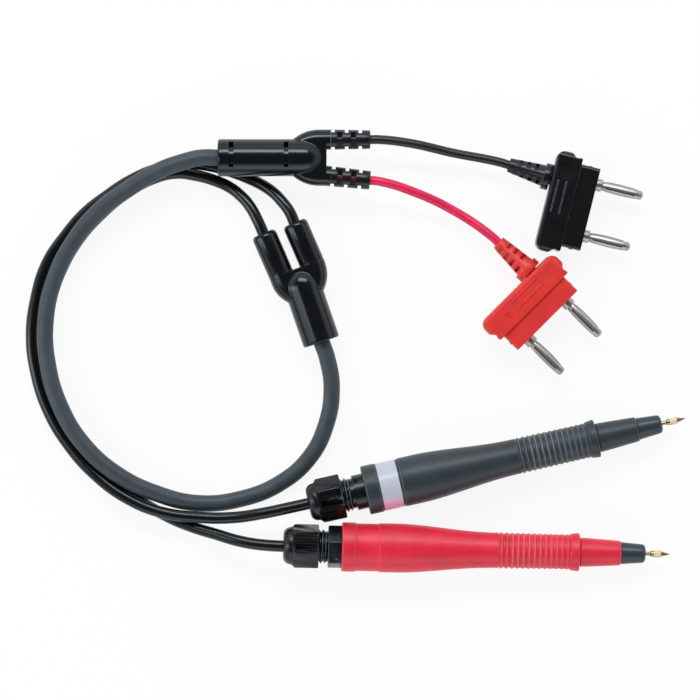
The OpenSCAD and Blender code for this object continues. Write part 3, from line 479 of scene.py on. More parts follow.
@dataclass(frozen=True)
class Film(Finish):
    """Film of a bare label band, with a painted pink reflection of the neighbouring red pen on one side.

    The tint's two ends and the level that they are counted from are in metres, as a shader's
    own coordinates are.
    """

    # pink of the painted reflection of the red pen
    tint: tuple[int, int, int] = (255, 178, 224)
    reflection_from: float = -0.0034
    reflection_to: float = -0.0050
    rise: tuple[float, float, float] = (0.0, 1.0, 0.0)
    level: float = 0.0

    def mix(self, graph: Graph, shader: bpy.types.Node) -> None:
        """Feeds colour from the place across the band: a painted reflection on one side, with the fine speckle of a
        film.
        """
        where = graph.place()
        high = graph.signal(
            "ShaderNodeVectorMath", "Value", {"operation": "DOT_PRODUCT"}, {0: where, 1: self.rise}
        )
        # painted reflection: pink where the band faces the red pen
        share = 1.0 - (high - self.level).ramp(self.reflection_to, self.reflection_from)
        speck = graph.noise(where, 0.22, 3.0)
        tone = graph.blend(share * 0.85, linear(self.colour), linear(self.tint))
        fleck = graph.blend(speck.ramp(0.35, 0.65) * 0.10, tone, linear((120, 126, 140)))
        graph.feed(shader.inputs["Base Color"], fleck)
        graph.feed(shader.inputs["Roughness"], self.roughness + (speck - 0.5) * 0.1)
        graph.feed(shader.inputs["Normal"], graph.bump(speck, 0.004))
        shader.inputs["Coat Weight"].default_value = 0.25
        shader.inputs["Coat Roughness"].default_value = 0.2


PEN_GREY = Moulding("pen_grey", (44, 52, 58), 0.45, grain=0.5, edge_highlight=0.5, highlight_colour=(146, 158, 168))
PEN_RED = Moulding("pen_red", (226, 36, 62), 0.42, grain=0.5, edge_highlight=0.55, highlight_colour=(255, 126, 138))
GLAND = Moulding("gland_black", (7, 8, 9), 0.28, grain=0.3, edge_highlight=0.75, highlight_colour=(100, 112, 120))
SEAL = Moulding("seal_rubber", (40, 42, 44), 0.62, grain=0.4)
SCREW = Plating("dark_steel", (44, 45, 48), 0.35)
LABEL = Film("label", (190, 196, 211), 0.42)
TIP = Moulding("tip_blue", (44, 56, 65), 0.36, grain=0.4, edge_highlight=0.5, highlight_colour=(150, 162, 174))
CREAM = Moulding("insulator_cream", (228, 208, 176), 0.45, grain=0.2, highlight_colour=(245, 232, 210))
CONTACT = Plating("contact_gold", (176, 154, 112), 0.26, tarnish=(84, 62, 36), tarnished=0.6)
WIRE = Moulding("wire_cream", (222, 206, 176), 0.5, grain=0.3)
SPRING = Plating("spring_steel", (176, 178, 182), 0.28)
NICKEL = Plating("nickel", (178, 176, 176), 0.36, tarnish=(120, 114, 110), tarnished=0.15)
PLUG_BLACK = Moulding("plug_black", (8, 9, 11), 0.28, grain=0.45, edge_highlight=0.8, highlight_colour=(112, 122, 130))
PLUG_RED = Moulding("plug_red", (218, 50, 44), 0.42, grain=0.45, edge_highlight=0.3, crease_shade=0.25,
                    highlight_colour=(255, 118, 106))
JUNCTION = Moulding("junction_black", (11, 12, 14), 0.20, grain=0.8, grain_depth=0.001, edge_highlight=0.10,
                    highlight_colour=(80, 92, 104), tint=(0.74, 0.90, 1.0))
BOOT = Moulding("boot_black", (11, 12, 14), 0.30, grain=0.4, edge_highlight=0.5, highlight_colour=(92, 102, 110))
CABLE_GREY = Sheath("cable_grey", (57, 66, 73), 0.50)
CABLE_BLACK = Sheath("cable_black", (9, 11, 14), 0.24)
LEAD_BLACK = Sheath("lead_black", (26, 29, 32), 0.32)
LEAD_CRIMSON = Sheath("lead_crimson", (226, 30, 82), 0.36)
# painted shade: a darker copy of the crimson jacket, for the red lead's end inside the boot windows
LEAD_CRIMSON_SHADE = Sheath("lead_crimson", (124, 18, 42), 0.45)


# ---- Modelling ----

# points closer than this, in mm, become one
MERGE = 0.0005
# a face whose area is under this many mm times its longest edge belongs to an edge's rounding
NARROW_FACE = 0.155


@dataclass(frozen=True)
class Place:
    """Where a sub-assembly lies: a point in mm, and its turn, dip and roll in degrees."""

    x: float
    y: float
    z: float
    turn: float = 0.0
    dip: float = 0.0
    roll: float = 0.0

    def matrix(self) -> Matrix:
        """Returns the way from the sub-assembly's frame in mm to the set's frame in metres."""
        heading = Matrix.Rotation(math.radians(self.turn), 4, "Z")
        nod = Matrix.Rotation(math.radians(self.dip), 4, "Y")
        roll = Matrix.Rotation(math.radians(self.roll), 4, "X")
        at = Matrix.Translation(Vector((self.x, self.y, self.z)) * MM)
        return at @ heading @ nod @ roll @ Matrix.Scale(MM, 4)

    def point(self, x: float, y: float = 0.0, z: float = 0.0) -> Vector:
        """Returns a point of the sub-assembly's frame in the set's frame, in metres."""
        return self.matrix() @ Vector((x, y, z))


class Join(Enum):
    """How one piece is worked with another."""

    ADD = "UNION"
    CUT = "DIFFERENCE"
    SHARE = "INTERSECT"


class Piece:
    """A mesh under work in millimetres, shaped in edit mode and by modifiers."""

    def __init__(self, obj: bpy.types.Object) -> None:
        """Takes over a mesh object."""
        self.obj = obj

    @staticmethod
    def _begin(name: str, at: Point) -> bpy.types.Object:
        """Adds a mesh of one vertex and stays in edit mode.

        Args:
            name: The object's name.
            at: The vertex's place.

        Returns:
            The new object.
        """
        bpy.ops.object.select_all(action="DESELECT")
        bpy.ops.mesh.primitive_plane_add(size=1.0)
        obj = bpy.context.object
        obj.name = name
        bpy.ops.object.mode_set(mode="EDIT")
        bpy.ops.mesh.select_all(action="SELECT")
        bpy.ops.mesh.merge(type="CENTER")
        bpy.ops.transform.translate(value=at)
        return obj

    @staticmethod
    def _draw(points: Sequence[Point]) -> None:
        """Extrudes the selected vertex from point to point."""
        for before, after in zip(points, points[1:]):
            step = tuple(b - a for a, b in zip(before, after))
            bpy.ops.mesh.extrude_vertices_move(TRANSFORM_OT_translate={"value": step})

    @staticmethod
    def _tidy() -> None:
        """Merges doubles, turns the faces outwards and leaves edit mode."""
        bpy.ops.mesh.select_all(action="SELECT")
        bpy.ops.mesh.remove_doubles(threshold=MERGE)
        bpy.ops.mesh.normals_make_consistent(inside=False)
        bpy.ops.object.mode_set(mode="OBJECT")

    @classmethod
    def turned(cls, name: str, outline: Outline, steps: int = 96) -> Piece:
        """Turns an outline about the X axis.

        Args:
            name: The piece's name.
            outline: (x, radius) points, which start and end on the axis or close on themselves.
            steps: The number of steps round the axis.

        Returns:
            The turned piece.
        """
        points = [(x, 0.0, r) for x, r in outline]
        obj = cls._begin(name, points[0])
        cls._draw(points)
        bpy.ops.mesh.select_all(action="SELECT")
        bpy.ops.mesh.spin(
            steps=steps, angle=2 * math.pi, center=(0.0, 0.0, 0.0), axis=(1.0, 0.0, 0.0)
        )
        cls._tidy()
        return cls(obj)

    @classmethod
    def solid(cls, name: str, outline: Outline, steps: int = 96) -> Piece:
        """Turns an open outline that is closed along the axis."""
        return cls.turned(name, [(outline[0][0], 0.0), *outline, (outline[-1][0], 0.0)], steps)

    @classmethod
    def hollow(cls, name: str, outer: Outline, inner: Outline, steps: int = 96) -> Piece:
        """Turns a wall between an outer and an inner outline, both from rear to front."""
        loop = [*outer, *reversed(inner)]
        return cls.turned(name, [*loop, loop[0]], steps)

    @classmethod
    def bar(cls, name: str, start: float, end: float, radius: float, steps: int = 48) -> Piece:
        """Turns a plain round bar, as a cutter or a core."""
        return cls.solid(name, [(start, radius), (end, radius)], steps)

    @classmethod
    def extruded(cls, name: str, corners: Sequence[Point], way: Point) -> Piece:
        """Draws a flat outline, fills it and extrudes it.

        Args:
            name: The piece's name.
            corners: The outline's corners in order.
            way: How far the face is extruded.

        Returns:
            The extruded piece.
        """
        obj = cls._begin(name, corners[0])
        cls._draw([*corners, corners[0]])
        bpy.ops.mesh.select_all(action="SELECT")
        bpy.ops.mesh.remove_doubles(threshold=MERGE)
        bpy.ops.mesh.edge_face_add()
        bpy.ops.mesh.extrude_region_move(TRANSFORM_OT_translate={"value": way})
        cls._tidy()
        return cls(obj)

    @classmethod
    def prism(cls, name: str, corners: Outline, start: float, end: float) -> Piece:
        """Extrudes an outline of (y, z) corners along the axis."""
        return cls.extruded(name, [(start, y, z) for y, z in corners], (end - start, 0.0, 0.0))

    @classmethod
    def slab(cls, name: str, corners: Outline, low: float, high: float) -> Piece:
        """Extrudes an outline of (x, y) corners upwards."""
        return cls.extruded(name, [(x, y, low) for x, y in corners], (0.0, 0.0, high - low))

    @classmethod
    def box(cls, name: str, low: Point, high: Point, rounding: float = 0.0) -> Piece:
        """Makes a box between two corners, with rounded edges where a rounding is given."""
        middle = tuple((a + b) / 2 for a, b in zip(low, high))
        size = tuple(b - a for a, b in zip(low, high))
        bpy.ops.object.select_all(action="DESELECT")
        bpy.ops.mesh.primitive_cube_add(size=1.0)
        obj = bpy.context.object
        obj.name = name
        bpy.ops.object.mode_set(mode="EDIT")
        bpy.ops.mesh.select_all(action="SELECT")
        bpy.ops.transform.resize(value=size)
        bpy.ops.transform.translate(value=middle)
        if rounding:
            bpy.ops.mesh.bevel(offset=rounding, segments=3, affect="EDGES")
        cls._tidy()
        return cls(obj)

    @classmethod
    def ball(cls, name: str, middle: Point, radius: float, steps: int = 48) -> Piece:
        """Makes a ball, as a cutter or as a corner of a hull."""
        bpy.ops.object.select_all(action="DESELECT")
        bpy.ops.mesh.primitive_uv_sphere_add(segments=steps, ring_count=steps // 2, radius=radius)
        obj = bpy.context.object
        obj.name = name
        bpy.ops.object.mode_set(mode="EDIT")
        bpy.ops.mesh.select_all(action="SELECT")
        bpy.ops.transform.translate(value=middle)
        cls._tidy()
        return cls(obj)

    @classmethod
    def coil(cls, name: str, start: float, end: float, coil_r: float, wire_r: float,
             turns: int) -> Piece:
        """Winds a wire about the X axis.

        Args:
            name: The piece's name.
            start: Where the coil starts along the axis.
            end: Where it ends.
            coil_r: The radius at the wire's middle.
            wire_r: The wire's radius.
            turns: The number of turns.

        Returns:
            The coil, closed at both ends.
        """
        data = bpy.data.curves.new(name, "CURVE")
        data.dimensions = "3D"
        data.bevel_depth, data.bevel_resolution, data.use_fill_caps = wire_r, 2, True
        spline = data.splines.new("POLY")
        chords = 24
        count = chords * turns
        spline.points.add(count)
        for i, point in enumerate(spline.points):
            angle = math.radians(360 / chords * i)
            x = start + wire_r + (end - start - 2 * wire_r) * i / count
            point.co = (x, coil_r * math.cos(angle), coil_r * math.sin(angle), 1.0)
        obj = bpy.data.objects.new(name, data)
        bpy.context.collection.objects.link(obj)
        piece = cls(obj)
        piece._only()
        bpy.ops.object.convert(target="MESH")
        bpy.ops.object.mode_set(mode="EDIT")
        cls._tidy()
        return piece

    def copy(self, name: str) -> Piece:
        """Returns a copy with a mesh of its own."""
        obj = self.obj.copy()
        obj.data = self.obj.data.copy()
        obj.name = name
        bpy.context.collection.objects.link(obj)
        return Piece(obj)

    def move(self, matrix: Matrix) -> Piece:
        """Moves the mesh and returns the piece."""
        self.obj.data.transform(matrix)
        self.obj.data.update()
        return self

    def shift(self, x: float = 0.0, y: float = 0.0, z: float = 0.0) -> Piece:
        """Moves the mesh along the axes."""
        return self.move(Matrix.Translation((x, y, z)))

    def roll(self, degrees: float) -> Piece:
        """Rolls the mesh about the X axis."""
        return self.move(Matrix.Rotation(math.radians(degrees), 4, "X"))

    def gather(self, others: Iterable[Piece]) -> Piece:
        """Takes other pieces' meshes into this one without joining their surfaces."""
        rest = list(others)
        if rest:
            self._only()
            for other in rest:
                other.obj.select_set(True)
            bpy.ops.object.join()
        return self

    def _only(self) -> None:
        """Selects this object alone and makes it the active one."""
        bpy.ops.object.select_all(action="DESELECT")
        self.obj.select_set(True)
        bpy.context.view_layer.objects.active = self.obj

    def apply(self, kind: str, **settings: object) -> Piece:
        """Adds a modifier with its settings and applies it."""
        modifier = self.obj.modifiers.new(kind.lower(), kind)
        for name, value in settings.items():
            setattr(modifier, name, value)
        self._only()
        bpy.ops.object.modifier_apply(modifier=modifier.name)
        return self

    def work(self, how: Join, *tools: Piece) -> Piece:
        """Adds, cuts or shares with other pieces, which are used up.

        Args:
            how: The way of joining.
            tools: The other pieces; several that don't touch are taken as one.

        Returns:
            This piece.
        """
        tool = tools[0].gather(tools[1:])
        self.apply("BOOLEAN", operation=how.value, solver="EXACT", object=tool.obj)
        bpy.data.objects.remove(tool.obj, do_unlink=True)
        return self

    def bevel(self, width: float, segments: int = 2, limit: float = 28.0) -> Piece:
        """Rounds every edge that is sharper than the limit in degrees."""
        return self.apply(
            "BEVEL",
            width=width,
            segments=segments,
            limit_method="ANGLE",
            angle_limit=math.radians(limit),
            use_clamp_overlap=True,
            miter_outer="MITER_ARC",
        )

    def hull(self) -> Piece:
        """Wraps the mesh in its convex hull."""
        self._only()
        bpy.ops.object.mode_set(mode="EDIT")
        bpy.ops.mesh.select_all(action="SELECT")
        bpy.ops.mesh.convex_hull()
        self._tidy()
        return self

    def soften(self, voxel: float, repeats: int, factor: float = 0.5) -> Piece:
        """Rebuilds the skin evenly and relaxes it, so that its creases run soft."""
        self.apply("REMESH", mode="VOXEL", voxel_size=voxel)
        return self.apply("SMOOTH", factor=factor, iterations=repeats)

    def sculpt(self, moved: Callable[[Vector], Vector]) -> Piece:
        """Moves each vertex to where a function puts it."""
        for vertex in self.obj.data.vertices:
            vertex.co = moved(vertex.co)
        self.obj.data.update()
        return self

    def smooth(self, limit: float = 32.0) -> Piece:
        """Shades smooth across every edge flatter than the limit in degrees."""
        self._only()
        bpy.ops.object.shade_smooth_by_angle(angle=math.radians(limit))
        return self

    def even_out(self) -> Piece:
        """Lets large flat faces keep their shading flat up to their rounded edges."""
        return self.apply("WEIGHTED_NORMAL", keep_sharp=True)

    def note_edges(self) -> Piece:
        """Writes how sharply each narrow face's corners stand out, for painted edge light and shade."""
        mesh = self.obj.data
        count = len(mesh.vertices)
        places, normals = np.empty(count * 3), np.empty(count * 3)
        mesh.vertices.foreach_get("co", places)
        mesh.vertices.foreach_get("normal", normals)
        places, normals = places.reshape(-1, 3), normals.reshape(-1, 3)
        ends = np.empty(len(mesh.edges) * 2, dtype=np.int32)
        mesh.edges.foreach_get("vertices", ends)
        ends = ends.reshape(-1, 2)
        way = places[ends[:, 1]] - places[ends[:, 0]]
        length = np.maximum(np.linalg.norm(way, axis=1), 1e-9)
        way /= length[:, None]
        bend = np.bincount(ends[:, 1], (normals[ends[:, 1]] * way).sum(1), count)
        bend -= np.bincount(ends[:, 0], (normals[ends[:, 0]] * way).sum(1), count)
        bend /= np.maximum(np.bincount(ends.ravel(), minlength=count), 1)
        faces, corners = len(mesh.polygons), len(mesh.loops)
        area, first = np.empty(faces), np.empty(faces, dtype=np.int32)
        total = np.empty(faces, dtype=np.int32)
        mesh.polygons.foreach_get("area", area)
        mesh.polygons.foreach_get("loop_start", first)
        mesh.polygons.foreach_get("loop_total", total)
        at, side = np.empty(corners, dtype=np.int32), np.empty(corners, dtype=np.int32)
        mesh.loops.foreach_get("vertex_index", at)
        mesh.loops.foreach_get("edge_index", side)
        narrow = area / np.maximum.reduceat(length[side], first) < NARROW_FACE
        noted = mesh.attributes.new("edge", "FLOAT", "CORNER")
        noted.data.foreach_set("value", bend[at] * np.repeat(narrow, total))
        return self

    def dress(self, place: Place, finish: Finish, *nodes: str) -> bpy.types.Object:
        """Carries the piece to its place, gives it its finish and the CAD nodes that it replaces.

        Args:
            place: The sub-assembly's place.
            finish: The piece's finish.
            nodes: The nodes that it replaces.

        Returns:
            The finished object.
        """
        self.note_edges().move(place.matrix())
        self.obj.data.materials.clear()
        self.obj.data.materials.append(finish.material())
        if nodes:
            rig.replaces(self.obj, *nodes)
        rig.slot(self.obj, finish.slot)
        LOG.info("%s: %d faces", self.obj.name, len(self.obj.data.polygons))
        return self.obj

    def settle(self, place: Place, finish: Finish, body: str, *nodes: str) -> bpy.types.Object:
        """Dresses the piece and lets it ride on a body; the arguments are those of dress()."""
        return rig.ride(self.dress(place, finish, *nodes), body)

    def stretch(
        self, place: Place, finish: Finish, bodies: tuple[str, str], span: tuple[float, float],
        *nodes: str,
    ) -> bpy.types.Object:
        """Dresses the piece and lets it shorten between two bodies.

        Args:
            place: The sub-assembly's place.
            finish: The piece's finish.
            bodies: The body at its rear and the body at its front.
            span: Where it starts and ends along the axis.
            nodes: The nodes that it replaces.

        Returns:
            The finished object.
        """
        obj = self.dress(place, finish, *nodes)
        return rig.blend(obj, *bodies, place.point(span[0]), place.point(span[1]))


def arc(x: float, r: float, radius: float, start: float, end: float, steps: int = 6) -> Outline:
    """Draws an arc of an outline.

    Args:
        x: The arc's middle along the axis.
        r: The arc's middle off the axis.
        radius: The arc's radius.
        start: Where it starts, in degrees from the axis.
        end: Where it ends.
        steps: The number of its chords.

    Returns:
        Its points.
    """
    angles = [math.radians(start + (end - start) * i / steps) for i in range(steps + 1)]
    return [(x + radius * math.cos(a), r + radius * math.sin(a)) for a in angles]


# ---- Probe pens ----


@dataclass
class Gland:
    """Cable gland at a pen's rear: domed nut, threaded body with its collar, and set screw."""

    place: Place
    pen: str
    dome_len: float = 3.2
    face_r: float = 4.35
    dome_r: float = 6.85
    hex_end: float = 12.7
    hex_r: float = 8.0
    chamfer: float = 1.1
    groove_count: int = 7
    groove_pitch: float = 1.0
    groove_w: float = 0.46
    groove_depth: float = 0.35
    bore_r: float = 2.4
    seal_pocket_r: float = 4.7
    seal_seat: float = 6.4
    seal_floor: float = 10.0
    stop_r: float = 2.2
    stop_end: float = 14.0
    core_bore_r: float = 1.9
    thread_start: float = 7.0
    thread_r: float = 6.1
    thread_pitch: float = 1.5
    thread_depth: float = 0.7
    collar_start: float = 16.1
    collar_end: float = 20.95
    collar_r: float = 8.05
    collar_roll: float = -14.0
    spigot_r: float = 6.35
    spigot_end: float = 26.0
    screw_x: float = 18.1
    screw_r: float = 0.9
    screw_sunk: float = 0.5
    screw_len: float = 1.6
    screw_roll: float = -43.0

    @staticmethod
    def _hexagon(radius: float) -> Outline:
        """Returns a hexagon of (y, z) corners with one of them on the Z axis."""
        angles = [math.radians(60 * i) for i in range(6)]
        return [(radius * math.sin(a), radius * math.cos(a)) for a in angles]

    @property
    def _flat(self) -> float:
        """Distance from the axis to a flat of the collar."""
        return self.collar_r * math.cos(math.radians(30))

    @property
    def _screw_top(self) -> float:
        """Distance from the axis to the set screw's end."""
        return self._flat - self.screw_sunk

    def nut(self) -> bpy.types.Object:
        """Builds the nut: a grooved hexagon with a rounded dome and its bore."""
        nut = Piece.prism(
            f"{self.pen}_nut", self._hexagon(self.hex_r), self.dome_len, self.hex_end
        )
        rim = self.hex_r + 0.01
        envelope = [
            (self.dome_len, self.hex_r - self.chamfer),
            (self.dome_len + self.chamfer, rim),
            (self.hex_end - 0.3, rim),
            (self.hex_end, rim - 0.3),
        ]
        nut.work(Join.SHARE, Piece.solid("envelope", envelope))
        nut.work(Join.CUT, *self._grooves())
        dome = [
            (
                self.dome_len * (1 - math.cos(math.radians(9 * i))),
                self.face_r + (self.dome_r - self.face_r) * math.sin(math.radians(9 * i)),
            )
            for i in range(11)
        ]
        dome.append((self.dome_len + 0.4, self.dome_r))
        nut.work(Join.ADD, Piece.solid("dome", dome))
        bore = [
            (-1.0, self.bore_r),
            (2.0, self.bore_r),
            (2.0, self.bore_r + 0.5),
            (4.5, self.seal_pocket_r),
            (self.seal_seat, self.seal_pocket_r),
            (self.seal_seat, self.thread_r + 0.15),
            (self.hex_end + 1, self.thread_r + 0.15),
        ]
        nut.work(Join.CUT, Piece.solid("bore", bore))
        nut.bevel(0.13, 2).smooth().even_out()
        return nut.settle(self.place, GLAND, f"{self.pen}_nut", f"{self.pen}_gland_nut")

    def _grooves(self) -> list[Piece]:
        """Makes the cutters of the grip grooves, modelled once and copied round."""
        flat = self.hex_r * math.cos(math.radians(30))
        low = (self.dome_len + self.chamfer, -self.groove_w / 2, flat - self.groove_depth)
        high = (self.hex_end - 0.6, self.groove_w / 2, flat + 1)
        first = Piece.box("groove", low, high)
        middle = (self.groove_count - 1) / 2
        cutters = [
            first.copy("groove").shift(y=(i - middle) * self.groove_pitch).roll(30 + 60 * side)
            for side in (1, 3, 5)
            for i in range(self.groove_count)
        ]
        bpy.data.objects.remove(first.obj, do_unlink=True)
        return cutters

    def body(self) -> bpy.types.Object:
        """Builds the threaded stub with its helix, the collar and the spigot."""
        root = self.thread_r - self.thread_depth
        first, last = self.thread_start + 0.3, self.collar_start - 0.3
        steps = round((last - first) / 0.1)
        stub = [(first + (last - first) * i / steps, root) for i in range(steps + 1)]
        outer = [
            (self.thread_start, root - 0.3),
            *stub,
            (self.collar_start + 1, root),
            (self.collar_start + 1, self.spigot_r),
            (self.spigot_end, self.spigot_r),
        ]
        inner = [
            (self.thread_start, self.seal_pocket_r),
            (self.seal_floor, self.seal_pocket_r),
            (self.seal_floor, self.stop_r),
            (self.stop_end, self.stop_r),
            (self.stop_end, self.core_bore_r),
            (self.spigot_end, self.core_bore_r),
        ]
        body = Piece.hollow(f"{self.pen}_gland", outer, inner, 120)
        body.sculpt(self._wind(first, last))
        body.work(Join.ADD, self._collar())
        body.work(Join.CUT, self._screw_hole())
        body.smooth(40)
        return body.settle(self.place, GLAND, "root", f"{self.pen}_gland_body")

    def _wind(self, first: float, last: float) -> Callable[[Vector], Vector]:
        """Returns the move that raises the thread's helix on the stub."""
        root = self.thread_r - self.thread_depth

        def moved(at: Vector) -> Vector:
            """Raises a point of the stub by the helix's height there."""
            radius = math.hypot(at.y, at.z)
            if not (first < at.x < last and abs(radius - root) < 0.02):
                return at
            phase = (at.x / self.thread_pitch + math.atan2(at.z, at.y) / (2 * math.pi)) % 1.0
            rise = min(1.0, max(0.0, 1.35 - 3.3 * abs(phase - 0.5)))
            fade = min(1.0, (at.x - first) / 0.8, (last - at.x) / 0.8)
            grown = (root + self.thread_depth * rise * fade) / radius
            return Vector((at.x, at.y * grown, at.z * grown))

        return moved

    def _collar(self) -> Piece:
        """Makes the hexagonal collar with broken edges and a chamfered rear rim."""
        start, end, rim = self.collar_start, self.collar_end, self.collar_r + 0.01
        collar = Piece.prism("collar", self._hexagon(self.collar_r), start, end)
        collar.bevel(0.14, 2)
        rims = [(start, rim - 0.5), (start + 0.5, rim), (end - 0.1, rim), (end, rim - 0.1)]
        collar.work(Join.SHARE, Piece.solid("rims", rims))
        collar.work(Join.CUT, Piece.bar("core", start - 1, end + 1, self.seal_pocket_r + 0.3, 120))
        return collar.roll(self.collar_roll - self.place.roll)

    def _screw_hole(self) -> Piece:
        """Makes the cutter of the set screw's hole with its countersunk mouth."""
        outline = [
            (self._screw_top - self.screw_len, self.screw_r + 0.05),
            (self._flat - 0.15, self.screw_r + 0.05),
            (self._flat + 0.35, self.screw_r + 0.55),
            (self.collar_r + 0.2, self.screw_r + 0.55),
        ]
        return self._upright(Piece.solid("screw_hole", outline, 40))

    def _upright(self, piece: Piece) -> Piece:
        """Stands a piece that was turned about X on the collar, at the set screw's place."""
        piece.move(Matrix.Rotation(math.radians(-90), 4, "Y"))
        return piece.shift(x=self.screw_x).roll(self.screw_roll - self.place.roll)

    def screw(self) -> bpy.types.Object:
        """Builds the set screw with its chamfered rim and hexagon socket."""
        top = self._screw_top
        bottom = top - self.screw_len
        outline = [
            (bottom, self.screw_r - 0.2),
            (bottom + 0.2, self.screw_r),
            (top - 0.15, self.screw_r),
            (top, self.screw_r - 0.15),
        ]
        screw = Piece.solid(f"{self.pen}_screw", outline, 40)
        socket = Piece.bar("socket", bottom + self.screw_len / 2, top + 1, 0.45, 6)
        screw.work(Join.CUT, socket).smooth()
        self._upright(screw)
        return screw.settle(self.place, SCREW, "root", f"{self.pen}_set_screw")


# (share of the pitch, share of the rib's height) along one rib of the grip
RIB_PROFILE = (
    (0.10, 0.0), (0.20, 0.08), (0.29, 0.42), (0.37, 0.80), (0.44, 0.97), (0.5, 1.0),
    (0.56, 0.97), (0.63, 0.80), (0.71, 0.42), (0.80, 0.08), (0.90, 0.0),
)


@dataclass
class Barrel:
    """A pen's barrel: end ring, label recess, belly, taper, ribbed grip and flared ring."""

    place: Place
    pen: str
    finish: Finish
    start: float = 21.0
    ring_r: float = 8.86
    recess: float = 26.1
    recess_r: float = 8.55
    belly: float = 34.3
    belly_r: float = 8.82
    taper: float = 41.0
    taper_len: float = 36.4
    waist_r: float = 6.35
    grip: float = 77.4
    ribs: int = 13
    rib_pitch: float = 1.99
    rib_root_r: float = 6.1
    rib_rear_r: float = 6.55
    rib_front_r: float = 6.3
    flare: float = 103.27
    end: float = 106.57
    flare_r: float = 6.9
    bore_rear_r: float = 6.4
    bore_front_r: float = 4.6
    label_len: float = 7.1
    label_t: float = 0.12

    def _taper(self) -> Outline:
        """Returns the long curve from the belly to the grip."""
        swing = self.belly_r - self.waist_r
        return [
            (
                self.taper + self.taper_len * i / 40,
                self.waist_r + swing * (1 + math.cos(math.pi * (i / 40) ** 0.9)) / 2,
            )
            for i in range(41)
        ]

    def _ribs(self) -> Outline:
        """Returns the grip's ribs, each with a rounded crest and a narrow root."""
        points: Outline = []
        for i in range(self.ribs):
            crest = self.rib_rear_r + (self.rib_front_r - self.rib_rear_r) * i / (self.ribs - 1)
            for step, share in RIB_PROFILE:
                x = self.grip + (i + step) * self.rib_pitch
                points.append((x, self.rib_root_r + (crest - self.rib_root_r) * share))
        return points

    def build(self) -> bpy.types.Object:
        """Turns the barrel with its bore."""
        outer = [
            (self.start, self.ring_r - 0.3),
            (self.start + 0.3, self.ring_r),
            (self.recess - 0.2, self.ring_r),
            (self.recess, self.recess_r),
            (self.belly, self.recess_r),
            (self.belly + 0.15, self.belly_r - 0.03),
            (self.belly + 2.4, self.belly_r),
            *self._taper(),
            *self._ribs(),
            (self.flare, self.rib_root_r + 0.3),
            (self.flare + 0.3, self.rib_front_r + 0.27),
            (self.flare + 1.2, self.rib_front_r + 0.40),
            (self.flare + 2.0, self.rib_front_r + 0.52),
            (self.end - 0.5, self.flare_r),
            (self.end - 0.15, self.flare_r - 0.06),
            (self.end, self.flare_r - 0.35),
        ]
        inner = [
            (self.start, self.bore_rear_r),
            (self.taper + self.taper_len * 0.25, self.bore_rear_r),
            (self.taper + self.taper_len * 0.6, self.bore_front_r),
            (self.end, self.bore_front_r),
        ]
        barrel = Piece.hollow(f"{self.pen}_barrel_shell", outer, inner, 128)
        barrel.bevel(0.08, 2, 24).smooth(38)
        return barrel.settle(self.place, self.finish, "root", f"{self.pen}_barrel")

    def label(self, finish: Finish) -> bpy.types.Object:
        """Turns the bare label band that lies in the recess."""
        start, end = self.recess + 0.3, self.recess + 0.3 + self.label_len
        top = self.recess_r + self.label_t
        outer = [(start, top - 0.04), (start + 0.05, top), (end - 0.05, top), (end, top - 0.04)]
        inner = [(start, self.recess_r), (end, self.recess_r)]
        band = Piece.hollow(f"{self.pen}_label", outer, inner, 128).smooth()
        return band.settle(self.place, finish, "root", f"{self.pen}_label_band")


@dataclass
class Nose:
    """A pen's nose: the tapered cone and the dark tip with its rounded end."""

    place: Place
    pen: str
    finish: Finish
    spigot_start: float = 96.97
    spigot_r: float = 4.55
    cone: float = 106.97
    cone_len: float = 14.6
    cone_rear_r: float = 5.26
    cone_front_r: float = 4.4
    bore_r: float = 1.8
    stem: float = 115.97
    stem_r: float = 3.2
    tip_end: float = 130.47
    tip_rear_r: float = 3.96
    tip_front_r: float = 3.38
    tip_round: float = 1.4
    guide_r: float = 0.8

    def build_cone(self) -> bpy.types.Object:
        """Turns the cone with its spigot and the seat of the tip."""
        front = self.cone + self.cone_len
        rise = self.cone_rear_r - self.cone_front_r
        slope = [
            (self.cone + self.cone_len * t, self.cone_rear_r - rise * t**1.15)
            for t in (0.02, 0.1, 0.2, 0.3, 0.4, 0.5, 0.6, 0.7, 0.8, 0.9)
        ]
        outer = [
            (self.spigot_start, self.spigot_r),
            (self.cone - 0.1, self.spigot_r),
            (self.cone, self.cone_rear_r - 0.15),
            *slope,
            (front - 0.3, self.cone_front_r + 0.02),
            (front, self.cone_front_r - 0.3),
        ]
        inner = [
            (self.spigot_start, self.bore_r),
            (self.stem, self.bore_r),
            (self.stem, self.stem_r + 0.05),
            (front, self.stem_r + 0.05),
        ]
        cone = Piece.hollow(f"{self.pen}_cone", outer, inner, 112).bevel(0.07, 2, 24).smooth(38)
        return cone.settle(self.place, self.finish, "root", f"{self.pen}_nose_cone")

    def build_tip(self) -> bpy.types.Object:
        """Turns the dark tip with its stem and the contact's guide."""
        rear = self.cone + self.cone_len + 0.05
        nose = arc(self.tip_end - self.tip_round, self.tip_front_r - self.tip_round,
                   self.tip_round, 90, 0, 10)
        outer = [
            (self.stem + 0.05, self.stem_r),
            (rear, self.stem_r),
            (rear, self.tip_rear_r - 0.1),
            (rear + 0.25, self.tip_rear_r),
            *nose,
        ]
        outer.append((self.tip_end, self.guide_r + 0.25))
        inner = [(self.stem + 0.05, self.guide_r), (self.tip_end - 0.2, self.guide_r)]
        tip = Piece.hollow(f"{self.pen}_tip", outer, inner, 112).bevel(0.05, 2, 30).smooth(38)
        return tip.settle(self.place, TIP, "root", f"{self.pen}_nose_tip")


